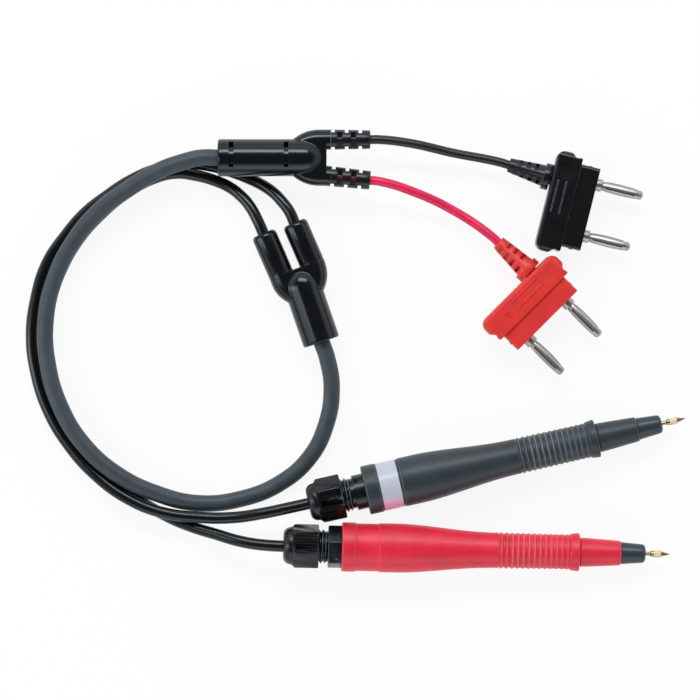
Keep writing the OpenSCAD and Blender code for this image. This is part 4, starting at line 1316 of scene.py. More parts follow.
@dataclass
class Contact:
    """A pen's sprung coaxial contact: sleeve with collar, insulating ring, needle, springs.

    Each coil is given by the radius at its wire's middle, the wire's radius and the turns.
    """

    place: Place
    pen: str
    sleeve_tail: float = 91.97
    sleeve_r: float = 0.74
    flange: float = 114.42
    flange_len: float = 1.5
    flange_r: float = 1.45
    collar: float = 132.27
    collar_r: float = 1.1
    ring: float = 133.47
    ring_r: float = 1.33
    ring_floor: float = 0.54
    sleeve_reach: float = 0.5
    head_gap: float = 0.06
    point: float = 136.07
    end: float = 139.37
    bore_r: float = 0.42
    chamber_r: float = 0.56
    chamber_end: float = 120.97
    needle_r: float = 0.36
    head_r: float = 1.0
    head: float = 135.07
    piston: float = 118.92
    piston_len: float = 2.0
    piston_r: float = 0.5
    springs_start: float = 104.97
    sleeve_coil: tuple[float, float, int] = (1.54, 0.16, 7)
    needle_coil: tuple[float, float, int] = (0.39, 0.14, 8)

    def sleeve(self) -> bpy.types.Object:
        """Turns the sleeve with its flange, collar and bore."""
        tail, front = self.sleeve_tail, self.ring + self.sleeve_reach
        outer = [
            (tail, self.sleeve_r),
            (self.flange, self.sleeve_r),
            (self.flange, self.flange_r),
            (self.flange + self.flange_len, self.flange_r),
            (self.flange + self.flange_len, self.sleeve_r),
            (self.collar, self.sleeve_r),
            (self.collar + 0.2, self.collar_r - 0.03),
            (self.collar + 0.32, self.collar_r),
            (self.ring - 0.08, self.collar_r),
            (self.ring, self.collar_r - 0.08),
            (self.ring, self.sleeve_r),
            (front, self.sleeve_r),
            (front, self.bore_r),
        ]
        inner = [
            (tail, 0.0),
            (self.springs_start, 0.0),
            (self.springs_start, self.chamber_r),
            (self.chamber_end, self.chamber_r),
            (self.chamber_end, self.bore_r),
        ]
        piece = Piece.turned(f"{self.pen}_sleeve", [inner[0], *outer, *reversed(inner[1:])], 64)
        piece.smooth(35)
        return piece.settle(
            self.place, CONTACT, f"{self.pen}_contact", f"{self.pen}_contact_sleeve"
        )

    def insulator(self) -> bpy.types.Object:
        """Turns the cream ring with rounded rims."""
        outer = [
            (self.ring, self.sleeve_r),
            (self.ring, self.ring_r - 0.2),
            (self.ring + 0.08, self.ring_r - 0.07),
            (self.ring + 0.25, self.ring_r),
            (self.point - 0.25, self.ring_r),
            (self.point - 0.08, self.ring_r - 0.07),
            (self.point, self.ring_r - 0.2),
            (self.point, self.head_r + self.head_gap),
        ]
        floor = self.ring + self.ring_floor
        inner = [(floor, self.sleeve_r), (floor, self.head_r + self.head_gap)]
        piece = Piece.turned(
            f"{self.pen}_ring", [*outer, *reversed(inner), outer[0]], 64
        ).smooth(35)
        return piece.settle(
            self.place, CREAM, f"{self.pen}_contact", f"{self.pen}_contact_insulator"
        )

    def needle(self) -> bpy.types.Object:
        """Turns the needle with its piston, head and pointed cone."""
        back = self.piston + self.piston_len
        outline = [
            (self.piston, self.piston_r),
            (back, self.piston_r),
            (back, self.needle_r),
            (self.head, self.needle_r),
            (self.head, self.head_r),
            (self.point, self.head_r),
            (self.point + 0.25, self.head_r - 0.06),
            (self.point + 1.7, 0.56),
            (self.end - 0.15, 0.13),
            (self.end - 0.05, 0.09),
            (self.end, 0.04),
        ]
        piece = Piece.solid(f"{self.pen}_point", outline, 64).smooth(35)
        return piece.settle(
            self.place, CONTACT, f"{self.pen}_needle", f"{self.pen}_contact_needle"
        )

    def springs(self) -> None:
        """Winds both springs; each shortens as its contact is pressed in."""
        pen, start = self.pen, self.springs_start
        outer = Piece.coil(f"{pen}_outer_spring", start, self.flange, *self.sleeve_coil)
        outer.smooth(60).stretch(self.place, SPRING, ("root", f"{pen}_contact"),
                                 (start, self.flange), f"{pen}_sleeve_spring")
        inner = Piece.coil(f"{pen}_inner_spring", start, self.piston, *self.needle_coil)
        inner.smooth(60).stretch(self.place, SPRING, (f"{pen}_contact", f"{pen}_needle"),
                                 (start, self.piston), f"{pen}_needle_spring")


@dataclass
class ProbePen:
    """One probe pen from its gland to its point."""

    pen: str
    place: Place
    finish: Finish
    screw_roll: float
    labelled: bool = False

    def build(self) -> None:
        """Builds all pieces of the pen."""
        gland = Gland(self.place, self.pen, screw_roll=self.screw_roll)
        gland.nut()
        gland.body()
        gland.screw()
        barrel = Barrel(self.place, self.pen, self.finish)
        barrel.build()
        if self.labelled:
            # the band has a painted reflection of the red pen on the side that faces -Y, counted from the pen's own
            # axis
            barrel.label(replace(LABEL, level=self.place.point(barrel.recess).y))
        nose = Nose(self.place, self.pen, self.finish)
        nose.build_cone()
        nose.build_tip()
        contact = Contact(self.place, self.pen)
        contact.sleeve()
        contact.insulator()
        contact.needle()
        contact.springs()


# ---- Strain reliefs ----


@dataclass
class StrainRelief:
    """Moulded boot that tapers to a lead, with rows of windows on changing sides."""

    name: str
    outline: Outline
    first: float
    pitch: float
    rows: int
    start_turn: float
    widths: tuple[float, float]
    height: float
    reach: float
    bore_r: float = 1.65

    def shape(self) -> Piece:
        """Turns the boot and cuts its windows, each kind modelled once and copied."""
        start, end = self.outline[0][0], self.outline[-1][0]
        boot = Piece.hollow(self.name, self.outline, [(start, self.bore_r), (end, self.bore_r)], 96)
        deep = self.reach + max(r for _, r in self.outline)
        cutters = []
        for kind, width in enumerate(self.widths):
            low = (self.first - width / 2, self.reach, -self.height / 2)
            high = (self.first + width / 2, deep, self.height / 2)
            window = Piece.box("window", low, high, 0.1)
            cutters += [
                window.copy("window")
                .shift(x=row * self.pitch / 2)
                .roll(self.start_turn + 90 * kind + side)
                for row in range(kind, self.rows, 2)
                for side in (0, 180)
            ]
            bpy.data.objects.remove(window.obj, do_unlink=True)
        boot.work(Join.CUT, *cutters)
        return boot.bevel(0.07, 2, 30).smooth(35)


# ---- Dual banana plugs ----


@dataclass
class BananaPlug:
    """One dual banana plug: shell, block, strain relief and its two sprung pins."""

    name: str
    place: Place
    finish: Finish
    boot_turn: float
    block_w: float = 30.2
    block_t: float = 11.0
    block_len: float = 7.0
    rear_w: float = 36.7
    front_w: float = 34.2
    shell_t: float = 13.0
    shell_len: float = 9.3
    shell_round: float = 3.2
    wall: float = 1.8
    tongue: float = 1.2
    wire_room: float = 2.2
    ridge_len: float = 11.9
    ridge_h: float = 0.35
    ridge_w: float = 0.6
    ridge_off: float = 1.75
    arrow_depth: float = 0.3
    draw_back: float = 4.4
    draw_len: float = 2.4
    notch_back: float = 2.3
    notch_depth: float = 0.3
    neck_r: float = 2.6
    boot_len: float = 16.0
    boot_side: float = 7.9
    pin_half: float = 9.525
    pin_len: float = 17.3
    collar_r: float = 2.3
    collar_len: float = 2.2
    cage_r: float = 2.0
    core_r: float = 1.3

    @property
    def rear(self) -> float:
        """The shell's rear face."""
        return -self.block_len - self.shell_len

    def _half(self, x: float) -> float:
        """Returns the shell's half width, which draws in along an S and has a shallow notch."""
        t = min(1.0, max(0.0, (x + self.block_len + self.draw_back) / self.draw_len))
        swing = (self.rear_w + (self.front_w - self.rear_w) * (1 - math.cos(math.pi * t)) / 2) / 2
        return swing - self.notch_depth * math.exp(-((x + self.block_len + self.notch_back) ** 2))

    def _plan(self) -> Outline:
        """Returns the shell's outline from above."""
        side = [
            (
                self.rear + self.shell_round * (1 + math.cos(math.radians(a))),
                self.rear_w / 2 - self.shell_round * (1 - math.sin(math.radians(a))),
            )
            for a in range(180, 89, -9)
        ]
        drawn = -self.block_len - self.draw_back
        side += [(x, self._half(x)) for x in (drawn + 0.25 * i for i in range(16))]
        side += [(-self.block_len - 0.4, self.front_w / 2 + 0.1),
                 (-self.block_len, self.front_w / 2 - 0.3)]
        return side + [(x, -y) for x, y in reversed(side)]

    def shell(self) -> bpy.types.Object:
        """Builds the shell with rounded edges, finger dip, pocket, arrowhead and ridges."""
        half_t = self.shell_t / 2
        shell = Piece.slab(f"{self.name}_cover", self._plan(), -half_t, half_t)
        loaf = self._loaf(self.rear_w, self.shell_t, 2.2, 6)
        past = self.rear + self.shell_len + 2
        shell.work(Join.SHARE, Piece.prism("loaf", loaf, self.rear - 1, past))
        cheek = self._loaf(self.shell_len + 1, self.shell_t, 1.5, 5)
        middle = self.rear + self.shell_len / 2 + 0.5
        bun = Piece.extruded(
            "bun", [(middle + y, -self.rear_w, z) for y, z in cheek], (0.0, 2 * self.rear_w, 0.0)
        )
        shell.work(Join.SHARE, bun)
        shell.work(Join.CUT, self._dip())
        pocket_y, pocket_z = self.block_w / 2 - self.tongue, self.block_t / 2 - self.tongue
        pocket = Piece.box(
            "pocket",
            (self.rear + self.wall, -pocket_y, -pocket_z),
            (-self.block_len + 1, pocket_y, pocket_z),
            0.3,
        )
        hole = Piece.bar("hole", self.rear - 1, self.rear + self.wall + 1, self.neck_r + 0.05)
        shell.work(Join.CUT, pocket, hole.shift(y=self.boot_side))
        shell.work(Join.CUT, self._arrow())
        shell.bevel(0.12, 2, 30)
        shell.work(Join.ADD, *self._marks())
        shell.smooth(36).even_out()
        return shell.settle(self.place, self.finish, "root", f"{self.name}_shell")

    @staticmethod
    def _loaf(width: float, height: float, radius: float, steps: int) -> Outline:
        """Returns a rectangle about the origin with rounded corners."""
        corners = ((1, 1, 0), (-1, 1, 90), (-1, -1, 180), (1, -1, 270))
        points: Outline = []
        for across, up, start in corners:
            points += arc(across * (width / 2 - radius), up * (height / 2 - radius), radius,
                          start, start + 90, steps)
        return points

    def _dip(self) -> Piece:
        """Makes the cutter of the shallow finger dip in the shell's top."""
        radius, depth = 26.0, 0.24
        at = (self.rear + 4.4, 11.6, self.shell_t / 2 + radius - depth)
        return Piece.ball("dip", at, radius, 96)

    def _marks(self) -> list[Piece]:
        """Makes the two raised ridges, rounded on top."""
        top = self.shell_t / 2
        marks = []
        for x in (self.rear + 2.5, self.rear + 5.5):
            low = (x - self.ridge_w / 2, self.ridge_off - self.ridge_len / 2, top - 0.6)
            high = (x + self.ridge_w / 2, self.ridge_off + self.ridge_len / 2, top + self.ridge_h)
            marks.append(Piece.box("ridge", low, high, 0.14))
        return marks

    def _arrow(self) -> Piece:
        """Makes the cutter of the plain arrowhead."""
        x, top = self.rear + 4.2, self.shell_t / 2
        corners = [(x, -9.7), (x + 2.8, -8.5), (x, -7.3)]
        return Piece.slab("arrow", corners, top - self.arrow_depth, top + 1.0)

    def block(self) -> bpy.types.Object:
        """Builds the front block with its tongue, nubs and pin seats."""
        loaf = self._loaf(self.block_w, self.block_t, 1.2, 5)
        block = Piece.prism(f"{self.name}_front", loaf, -self.block_len + 0.05, 0.0)
        inner_y = self.block_w / 2 - self.tongue - 0.05
        inner_z = self.block_t / 2 - self.tongue - 0.05
        tail = -self.block_len - (self.shell_len - self.wall - self.wire_room)
        low, high = (tail, -inner_y, -inner_z), (-self.block_len + 1, inner_y, inner_z)
        block.work(Join.ADD, Piece.box("tongue", low, high))
        nubs = [
            Piece.box(
                "nub",
                (-self.block_len / 2 - 0.6, side * (self.block_w / 2 - 0.3) - 0.6, -2.75),
                (-self.block_len / 2 + 0.6, side * (self.block_w / 2 - 0.3) + 0.6, 2.75),
                0.2,
            )
            for side in (-1, 1)
        ]
        block.work(Join.ADD, *nubs)
        seat = [
            (tail - 1, self.core_r + 0.05),
            (-0.6, self.core_r + 0.05),
            (-0.6, self.collar_r + 0.05),
            (1.0, self.collar_r + 0.05),
        ]
        seats = [Piece.solid("seat", seat, 56).shift(y=side * self.pin_half) for side in (-1, 1)]
        block.work(Join.CUT, *seats)
        block.bevel(0.14, 2, 30).smooth(36).even_out()
        return block.settle(self.place, self.finish, "root", f"{self.name}_block")

    def boot(self) -> bpy.types.Object:
        """Builds the strain relief behind the shell."""
        root_r, tip_r, root, end = 4.8, 2.6, 2.6, self.boot_len - 0.3
        outline = [
            (0.0, root_r - 0.25),
            (0.08, root_r - 0.08),
            (0.25, root_r),
            (root - 0.25, root_r),
            (root - 0.06, root_r - 0.07),
            (root, root_r - 0.2),
            (root, root_r - 0.9),
            (end - 0.3, tip_r),
            (end - 0.08, tip_r - 0.09),
            (end, tip_r - 0.3),
        ]
        relief = StrainRelief(f"{self.name}_relief", outline, first=4.2, pitch=3.0, rows=7,
                              start_turn=45.0, widths=(1.26, 1.26), height=1.3 * tip_r, reach=2.0)
        boot = relief.shape().shift(x=0.3)
        boot.move(Matrix.Rotation(math.radians(180 + self.boot_turn), 4, "Z"))
        neck = Piece.bar("neck", -0.6, self.wall, self.neck_r)
        boot.gather([neck]).shift(x=self.rear, y=self.boot_side)
        return boot.settle(self.place, self.finish, "root", f"{self.name}_boot")

    def _pair(self, name: str, piece: Piece) -> Piece:
        """Copies a pin's piece to both pins."""
        twin = piece.copy(name).shift(y=self.pin_half)
        return piece.shift(y=-self.pin_half).gather([twin])

    def pins(self) -> list[bpy.types.Object]:
        """Builds the cores with their rounded heads, the collars and the sprung cages."""
        tail = -self.block_len - (self.shell_len - self.wall - self.wire_room) - 0.5
        head_x, head_r = self.pin_len - 1.6, 0.85 * self.cage_r
        dome = [
            (self.pin_len - 1.6 * (1 - math.sin(a)), head_r * math.cos(a) ** 0.7)
            for a in (math.radians(10 * i) for i in range(1, 9))
        ]
        waist = self.core_r - 0.45
        core = [(tail, self.core_r), (self.collar_len + 1.0, self.core_r),
                (self.collar_len + 1.0, waist), (head_x - 0.8, waist), (head_x - 0.8, self.core_r),
                (head_x, self.core_r), (head_x, head_r - 0.08), (head_x + 0.1, head_r),
                *dome, (self.pin_len, 0.35)]
        cores = self._pair("core", Piece.solid(f"{self.name}_cores", core, 64)).smooth(35)
        rim = self.collar_len
        ring = [(-0.55, self.collar_r), (rim - 0.4, self.collar_r),
                (rim - 0.12, self.collar_r - 0.1), (rim, self.collar_r - 0.35)]
        bore = [(-0.55, self.core_r + 0.05), (rim, self.core_r + 0.05)]
        collars = self._pair("collar", Piece.hollow(f"{self.name}_collars", ring, bore, 64))
        collars.smooth(35)
        cages = self._pair("cage", self._cage()).smooth(35)
        return [
            piece.settle(self.place, NICKEL, "root", f"{self.name}_pin_{part}")
            for piece, part in ((cores, "cores"), (collars, "collars"), (cages, "cages"))
        ]

    def _cage(self) -> Piece:
        """Turns the barrel-shaped cage and cuts the slots between its leaves."""
        start, end = self.collar_len + 0.05, self.pin_len - 1.65
        span = end - start
        wide = [
            (start + span * t, self.cage_r * (0.77 + 0.23 * math.sin(math.pi * t) ** 0.55))
            for t in (i / 24 for i in range(25))
        ]
        inner = [(x, max(self.core_r + 0.05, r - 0.28)) for x, r in wide]
        cage = Piece.hollow(f"{self.name}_cages", wide, inner, 64)
        slots = [
            Piece.box("slot", (start + 1.2, -0.24, -3.0), (end - 1.2, 0.24, 3.0), 0.1).roll(turn)
            for turn in (22.5, 112.5)
        ]
        for slot in slots:
            cage.work(Join.CUT, slot)
        return cage

    def build(self) -> list[bpy.types.Object]:
        """Builds the whole plug and returns its pieces."""
        return [self.shell(), self.block(), self.boot(), *self.pins()]


# ---- Junctions ----


@dataclass
class Junction:
    """Soft moulded junction: a round body whose two arms swing out to the outlets in a web."""

    name: str
    place: Place
    length: float
    radius: float
    end_len: float
    face: float
    side: float
    outlet_r: float
    arms_start: float
    turn: float = 0.0
    swing: float = 2.4
    seat: float = 2.0

    def shape(self) -> Piece:
        """Builds the body and its arms with soft creases between them."""
        bullet = [
            (self.length - self.end_len * (1 - math.sin(a)), self.radius * math.cos(a))
            for a in (math.radians(6 * i) for i in range(15))
        ]
        outline = [(0.0, self.radius - 0.6), (0.2, self.radius - 0.2), (0.6, self.radius), *bullet]
        body = Piece.solid(self.name, outline, 96)
        return body.gather(self._arms()).soften(0.24, 5)

    def _pair(self, start: float, end: float, share: float) -> Piece:
        """Makes a disc or bar on each arm.

        Args:
            start: Where it starts along the arm's own axis.
            end: Where it ends.
            share: How far along the arms it stands, from 0 to 1.

        Returns:
            Both bars as one piece.
        """
        way = math.radians(self.turn)
        last = self.face - self.seat * math.cos(way)
        bars = []
        for side in (-1, 1):
            bar = Piece.bar("arm", start, end, self.outlet_r, 48)
            bar.move(Matrix.Rotation(way * share, 4, "Z"))
            across = side * self.side * (1 - (1 - share) ** self.swing)
            bars.append(bar.shift(
                x=self.arms_start + (last - self.arms_start) * share,
                y=across - self.seat * math.sin(way) * share,
            ))
        return bars[0].gather(bars[1:])

    def _arms(self) -> list[Piece]:
        """Wraps the web round the two arms, slice by slice up to the outlets' faces."""
        steps = 12
        slices = [
            self._pair(0.0, 0.1, i / steps).gather([self._pair(0.0, 0.1, (i + 1) / steps)]).hull()
            for i in range(steps)
        ]
        short = 2.4 * self.outlet_r * math.sin(math.radians(self.turn))
        return [*slices, self._pair(0.0, self.seat - short, 1.0).hull()]

    def arm(self, side: int, turn: float, piece: Piece) -> Piece:
        """Turns a piece that starts at x = 0 and puts it on an outlet's face."""
        piece.move(Matrix.Rotation(math.radians(turn), 4, "Z"))
        return piece.shift(x=self.face, y=side * self.side)


@dataclass
class PlugJunction(Junction):
    """The junction that splits the main cable into the two plug leads."""

    outlet_len: float = 1.5
    groove_w: float = 1.7
    groove_depth: float = 1.6
    grooves: tuple[float, float] = (4.9, 24.6)
    groove_span: tuple[float, float] = (-3.6, 5.6)
    boot_len: float = 14.2
    tip_r: float = 3.05
    lead_r: float = 1.6
    red_turn: float = -6.0

    def build(self) -> None:
        """Builds the body with its two grooves, both strain reliefs and the leads in them."""
        body = self.shape()
        sides = ((1, 0.0, "black", LEAD_BLACK), (-1, self.red_turn, "red", LEAD_CRIMSON_SHADE))
        outlets = [
            self.arm(side, turn, Piece.bar("outlet", -1, self.outlet_len - 0.05, self.outlet_r, 72))
            for side, turn, _, _ in sides
        ]
        body.work(Join.ADD, *outlets)
        body.work(Join.CUT, *[self._groove(x) for x in self.grooves])
        body.smooth(40).settle(self.place, JUNCTION, "root", "plug_junction")
        for side, turn, colour, jacket in sides:
            boot = self.arm(side, turn, self._boot(f"{colour}_outlet_relief"))
            boot.settle(self.place, BOOT, "root", f"plug_junction_{colour}_boot")
            # the red lead's end carries painted shade where it shows in the boot's windows
            inner = Piece.bar(f"{colour}_lead_end", self.outlet_len + 0.2,
                              self.outlet_len + self.boot_len - 0.2, self.lead_r)
            self.arm(side, turn, inner.smooth()).settle(self.place, jacket, "root")

    def _boot(self, name: str) -> Piece:
        """Builds a strain relief with notches at its sides and windows above and below."""
        end, root_r = self.boot_len, self.outlet_r
        outline = [
            (0.0, root_r - 0.06),
            (0.1, root_r),
            (end - 0.3, self.tip_r + 0.3),
            (end - 0.1, self.tip_r + 0.18),
            (end, self.tip_r),
        ]
        relief = StrainRelief(name, outline, first=0.8, pitch=4.9, rows=5, start_turn=0.0,
                              widths=(1.25, 1.875), height=5.2, reach=1.5)
        return relief.shape().shift(x=self.outlet_len)

    def _groove(self, x: float) -> Piece:
        """Makes the cutter of a groove across the body's upper side."""
        half, floor = self.groove_w / 2, self.radius - self.groove_depth
        ring = Piece.hollow(
            "groove",
            [(x - half, self.radius + 1), (x + half, self.radius + 1)],
            [(x - half, floor), (x + half, floor)],
            96,
        )
        low, high = self.groove_span
        span = Piece.box("span", (x - 2, low, 0.0), (x + 2, high, self.radius + 2))
        return ring.work(Join.SHARE, span)


@dataclass
class PenJunction(Junction):
    """The junction that splits the main cable into the two pen cables."""

    sleeve_len: float = 15.3

    def build(self) -> None:
        """Builds the body and its two outlet sleeves."""
        body = self.shape()
        collars = [
            self.arm(side, self.turn, Piece.solid("collar", [
                (-2.4, self.outlet_r - 0.02), (-0.12, self.outlet_r - 0.02),
                (-0.02, self.outlet_r - 0.12)], 80))
            for side in (1, -1)
        ]
        body.work(Join.ADD, *collars)
        body.smooth(40).settle(self.place, JUNCTION, "root", "pen_junction")
        for side, colour in ((1, "red"), (-1, "grey")):
            sleeve = self.arm(side, self.turn, self._sleeve(f"{colour}_outlet_sleeve"))
            sleeve.settle(self.place, JUNCTION, "root", f"pen_junction_{colour}_sleeve")

    def _sleeve(self, name: str) -> Piece:
        """Turns an outlet sleeve with its drawn-in mouth and the cable's bore."""
        end = self.sleeve_len
        outline = [
            (0.05, self.outlet_r - 0.15),
            (0.1, self.outlet_r - 0.05),
            (0.2, self.outlet_r),
            (end - 1.6, self.outlet_r),
            (end - 1.1, self.outlet_r - 0.08),
            (end - 0.5, self.outlet_r - 0.35),
            (end - 0.15, self.outlet_r - 0.7),
            (end, self.outlet_r - 1),
            (end, 2.15),
            (end - 3, 2.15),
        ]
        return Piece.solid(name, outline, 80).smooth(36)


# ---- Cables ----


class FarEnd(Enum):
    """What a cable ends in."""

    PLUG = "plug"
    OBJECT = "object"


@dataclass
class Cable:
    """A round cable along a route of points in millimetres, from its exit to its far end."""

    name: str
    route: Sequence[Point]
    diameter: float
    finish: Finish
    exit: Vector
    far_end: FarEnd
    stiffness: str = "medium"
    carried: list[bpy.types.Object] = field(default_factory=list)

    def build(self) -> bpy.types.Object:
        data = bpy.data.curves.new(f"{self.name}_run", "CURVE")
        data.dimensions = "3D"
        data.bevel_depth = self.diameter / 2 * MM
        data.bevel_resolution = 8
        data.resolution_u = 14
        data.use_fill_caps = True
        spline = data.splines.new("BEZIER")
        spline.bezier_points.add(len(self.route) - 1)
        for knot, at in zip(spline.bezier_points, self.route):
            knot.co = Vector(at) * MM
            knot.handle_left_type = knot.handle_right_type = "AUTO"
        obj = bpy.data.objects.new(f"{self.name}_run", data)
        bpy.context.collection.objects.link(obj)
        data.materials.append(self.finish.material())
        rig.ride(obj, "root")
        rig.replaces(obj, self.name)
        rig.slot(obj, self.finish.slot)
        bpy.context.view_layer.update()
        length = spline.calc_length()
        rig.cord(
            obj,
            exit=tuple(self.exit),
            length=length,
            diameter=self.diameter * MM,
            far_end=self.far_end.value,
            stiffness=self.stiffness,
            lay="loose",
            with_pieces=self.carried,
        )
        LOG.info("%s: %.0f mm long", self.name, length / MM)
        return obj


MAIN_ROUTE: list[Point] = [
    (-95.9, 120.9, 10.8), (-101.9, 120.9, 10.8), (-108, 119.5, 11.4), (-117.5, 116, 11.8),
    (-127.5, 110, 11.3), (-138.5, 102, 10), (-147.5, 91.5, 8.6), (-154.5, 78, 7.8),
    (-158, 62.5, 7.7), (-157.2, 46.5, 7.7), (-152.5, 31, 7.7), (-144.5, 18, 7.8),
    (-132.5, 7.2, 7.3), (-118, 0, 5.4), (-103, -3.5, 3.7), (-88, -2, 3.1), (-74, 3.5, 3.1),
    (-63, 13, 3.1), (-57, 25, 3.1), (-55, 38, 4.2), (-56.6466, 48.9269, 6.75),
    (-58.6, 54.6, 6.75),
]
RED_PEN_ROUTE: list[Point] = [
    (-79.6232, 93.8466, 6.75), (-81.298, 97.6982, 6.75), (-84.5, 103.6, 5.9),
    (-88, 107.6, 4.4), (-92.3, 110.8, 3.1), (-97.3, 113, 2.7), (-104, 114.8, 3.8),
    (-111.5, 115.5, 5.9), (-119.5, 113.5, 6.2), (-128, 109, 5.6), (-138, 101, 4.3),
    (-146.5, 91.5, 3), (-153, 80, 2.4), (-157, 68, 2.2), (-158, 55.5, 2.2),
    (-156, 42.5, 2.2), (-151.5, 30, 2.2), (-145.5, 19, 2.2), (-137.5, 9.5, 2.2),
    (-126.5, -1, 2.2), (-114, -8.5, 2.5), (-105.5, -12, 3.8), (-97, -14.5, 6.2),
    (-88, -17, 9), (-79.1152, -18.3406, 10.2442), (-58.41, -18.8321, 9.63307),
]
GREY_PEN_ROUTE: list[Point] = [
    (-68.4661, 97.6883, 6.75), (-70.1409, 101.54, 6.75), (-73, 105.4, 5.9),
    (-76.3, 108.8, 4.4), (-80.3, 111.5, 3.1), (-84.6, 113.6, 2.4), (-89.8, 115.7, 2.2),
    (-97.5, 118, 2.2), (-106, 119, 2.2), (-117, 117.5, 2.2), (-127, 113.5, 2.2),
    (-137, 107, 2.2), (-144, 101.5, 2.2), (-151, 93.5, 2.2), (-158, 83, 2.2),
    (-162, 70, 2.2), (-163.5, 57, 2.2), (-162, 44, 2.3), (-157.5, 30, 2.8),
    (-150, 17.5, 4), (-140, 6.5, 5.6), (-129, -1.5, 6.6), (-117, -6.5, 6.9),
    (-102.5, -8.5, 7), (-90, -8.5, 8), (-80, -7, 9.6), (-69.9527, -4.87672, 10.2442),
    (-49.7485, -0.323492, 9.63307),
]
BLACK_LEAD_ROUTE: list[Point] = [
    (-41.1, 127.4, 10.8), (-37.8, 127.4, 10.8), (-26, 126, 9.7), (-11.5, 122.8, 7.4),
    (5.63868, 119.451, 6.5), (8.79449, 118.487, 6.5),
]
RED_LEAD_ROUTE: list[Point] = [
    (-41.186, 112.759, 10.8), (-37.9041, 112.414, 10.8), (-25, 108.5, 9), (-11, 102, 5.8),
    (2.64518, 92.7746, 6.5), (5.05864, 90.524, 6.5),
]


# ---- Light, floor and camera ----


@dataclass
class Studio:
    """White floor, light tent and the camera that looks straight down."""

    middle: tuple[float, float] = (-48.4, 51.8)
    frame: float = 252.0
    level: float = 8.0
    distance: float = 1600.0
    sensor: float = 36.0
    floor_side: float = 6000.0

    def camera(self) -> None:
        """Hangs the camera above the middle of the frame."""
        data = bpy.data.cameras.new("camera")
        data.sensor_width = self.sensor
        data.lens = self.sensor * self.distance / self.frame
        data.clip_end = 10.0
        obj = bpy.data.objects.new("camera", data)
        obj.location = Vector((*self.middle, self.level + self.distance)) * MM
        bpy.context.collection.objects.link(obj)
        bpy.context.scene.camera = obj

    def floor(self) -> None:
        """Lays the white floor, which keeps a soft shadow."""
        bpy.ops.object.select_all(action="DESELECT")
        bpy.ops.mesh.primitive_plane_add(size=self.floor_side * MM)
        obj = bpy.context.object
        obj.name = "floor"
        made = bpy.data.materials.new("floor_white")
        made.use_nodes = True
        graph = Graph(made.node_tree)
        path = graph.node("ShaderNodeLightPath")
        seen = Signal(graph, path.outputs["Is Camera Ray"])
        mirrored = Signal(graph, path.outputs["Is Glossy Ray"])
        through = Signal(graph, path.outputs["Is Transmission Ray"])
        share = seen.at_least(mirrored).at_least(through) * 0.90
        paint = graph.node("ShaderNodeBsdfDiffuse", None, {"Color": (0.95, 0.95, 0.95, 1.0)})
        glow = graph.node("ShaderNodeEmission", None, {"Strength": 1.0})
        mixed = graph.node("ShaderNodeMixShader", None, {0: share})
        graph.tree.links.new(paint.outputs[0], mixed.inputs[1])
        graph.tree.links.new(glow.outputs[0], mixed.inputs[2])
        output = graph.node("ShaderNodeOutputMaterial")
        graph.tree.links.new(mixed.outputs[0], output.inputs[0])
        obj.data.materials.append(made)
        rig.stage(obj)

    def tent(self) -> None:
        """Lights the world as a light tent: bright low all round, dark overhead."""
        world = bpy.data.worlds.new("tent")
        bpy.context.scene.world = world
        world.use_nodes = True
        graph = Graph(world.node_tree)
        way = graph.signal("ShaderNodeTexCoord", "Generated")
        height = graph.signal("ShaderNodeSeparateXYZ", "Z", None, {0: way})
        north = graph.signal("ShaderNodeSeparateXYZ", "Y", None, {0: way})
        band = height.ramp(0.02, 0.12) * (1.0 - height.ramp(0.36, 0.74))
        level = 0.13 + band * (1.00 + north.ramp(-0.4, 0.5) * 0.35)
        seen = graph.signal("ShaderNodeLightPath", "Is Camera Ray")
        strength = level * (1.0 - seen) + seen
        sky = graph.node("ShaderNodeBackground", None, {"Strength": strength})
        output = graph.node("ShaderNodeOutputWorld")
        graph.tree.links.new(sky.outputs[0], output.inputs[0])

    def lamp(self, name: str, at: Point, size: tuple[float, float], power: float) -> None:
        """Hangs a soft box that looks at the set.

        Args:
            name: The lamp's name.
            at: Its place in mm.
            size: Its width and height in mm.
            power: Its power in watts.
        """
        data = bpy.data.lights.new(name, "AREA")
        data.shape = "RECTANGLE"
        data.size, data.size_y = size[0] * MM, size[1] * MM
        data.energy = power
        obj = bpy.data.objects.new(name, data)
        obj.location = Vector(at) * MM
        target = Vector((*self.middle, 0.0)) * MM
        obj.rotation_euler = (target - obj.location).to_track_quat("-Z", "Y").to_euler()
        bpy.context.collection.objects.link(obj)

    def build(self) -> None:
        """Builds camera, floor and lights."""
        view = bpy.context.scene.view_settings
        view.view_transform = "Standard"
        self.camera()
        self.floor()
        self.tent()
        x, y = self.middle
        self.lamp("north_box", (x, y + 820, 900), (1000, 300), 8.5)
        self.lamp("south_box", (x, y - 860, 520), (1100, 600), 2.2)
        self.lamp("west_box", (x - 860, y - 100, 620), (300, 900), 3.0)


# ---- The set ----


class Insides:
    """Finishes of the CAD nodes that stay as they are, inside the other pieces."""

    FINISHES: dict[str, Finish] = {
        "gland_seal": SEAL,
        "contact_carrier": WIRE,
        "solder_lugs": CONTACT,
        "core_wires": WIRE,
        "plug_wires": WIRE,
        "splices": CONTACT,
    }

    @classmethod
    def dress(cls, nodes: dict[str, bpy.types.Object]) -> None:
        """Gives each inner node its finish."""
        for name, obj in nodes.items():
            for ending, finish in cls.FINISHES.items():
                if name.endswith(ending):
                    for slot in obj.material_slots:
                        slot.material = finish.material()


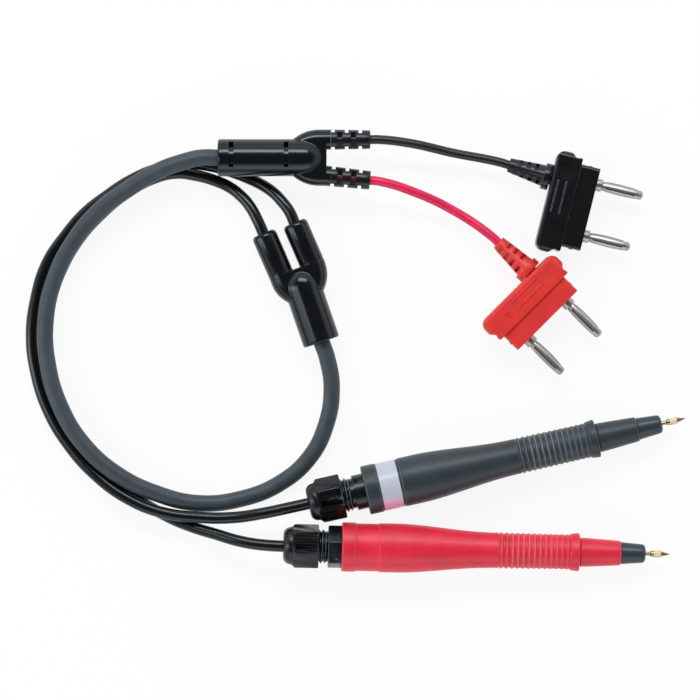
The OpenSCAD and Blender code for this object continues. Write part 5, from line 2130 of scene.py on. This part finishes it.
def main() -> None:
    """Builds the set from the camera and the cables to the last piece."""
    logging.basicConfig(level=logging.INFO, format="%(message)s")
    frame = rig.load()
    cad_box = [list(corner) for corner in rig.bounds()]
    nodes = frame["nodes"]
    Studio().build()

    grey = Place(-63.4, -3.4, 10.046, turn=12.7, dip=1.69012, roll=30)
    red = Place(-72.4, -18.5, 10.046, turn=-1.36, dip=1.69012, roll=17)
    black_plug = Place(38.0, 102.2, 6.5, turn=-14)
    red_plug = Place(22.7, 62.5, 6.5, turn=-45)
    split = Place(-95.9, 120.9, 10.8)
    fork = Place(-58.6, 54.6, 6.75, turn=109)

    ProbePen("grey", grey, PEN_GREY, screw_roll=-43.0, labelled=True).build()
    ProbePen("red", red, PEN_RED, screw_roll=30.0).build()
    black_pieces = BananaPlug("black_plug", black_plug, PLUG_BLACK, boot_turn=-3.0).build()
    red_pieces = BananaPlug("red_plug", red_plug, PLUG_RED, boot_turn=2.0).build()
    PlugJunction("split_body", split, length=38.6, radius=6.7, end_len=9.0, face=39.1, side=6.5,
                 outlet_r=3.65, arms_start=24.0).build()
    PenJunction("fork_body", fork, length=28.3, radius=6.75, end_len=7.4, face=28.7, side=5.9,
                outlet_r=4.57, arms_start=15.3, turn=4.5).build()

    Cable("main_cable", MAIN_ROUTE[::-1], 6.0, CABLE_GREY, fork.point(0), FarEnd.OBJECT).build()
    Cable("grey_pen_cable", GREY_PEN_ROUTE[::-1], 4.2, CABLE_BLACK, grey.point(0),
          FarEnd.OBJECT).build()
    Cable("red_pen_cable", RED_PEN_ROUTE[::-1], 4.2, CABLE_BLACK, red.point(0),
          FarEnd.OBJECT).build()
    Cable("black_lead", BLACK_LEAD_ROUTE, 3.3, LEAD_BLACK, Vector(BLACK_LEAD_ROUTE[0]) * MM,
          FarEnd.PLUG, carried=black_pieces).build()
    Cable("red_lead", RED_LEAD_ROUTE, 3.3, LEAD_CRIMSON, Vector(RED_LEAD_ROUTE[0]) * MM,
          FarEnd.PLUG, carried=red_pieces).build()
    Insides.dress(nodes)

    looks_box = [list(corner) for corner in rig.bounds()]
    with open("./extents.json", "w", encoding="utf-8") as out:
        json.dump({"cad": cad_box, "visual": looks_box}, out, indent=1)


if __name__ == "__main__":
    main()
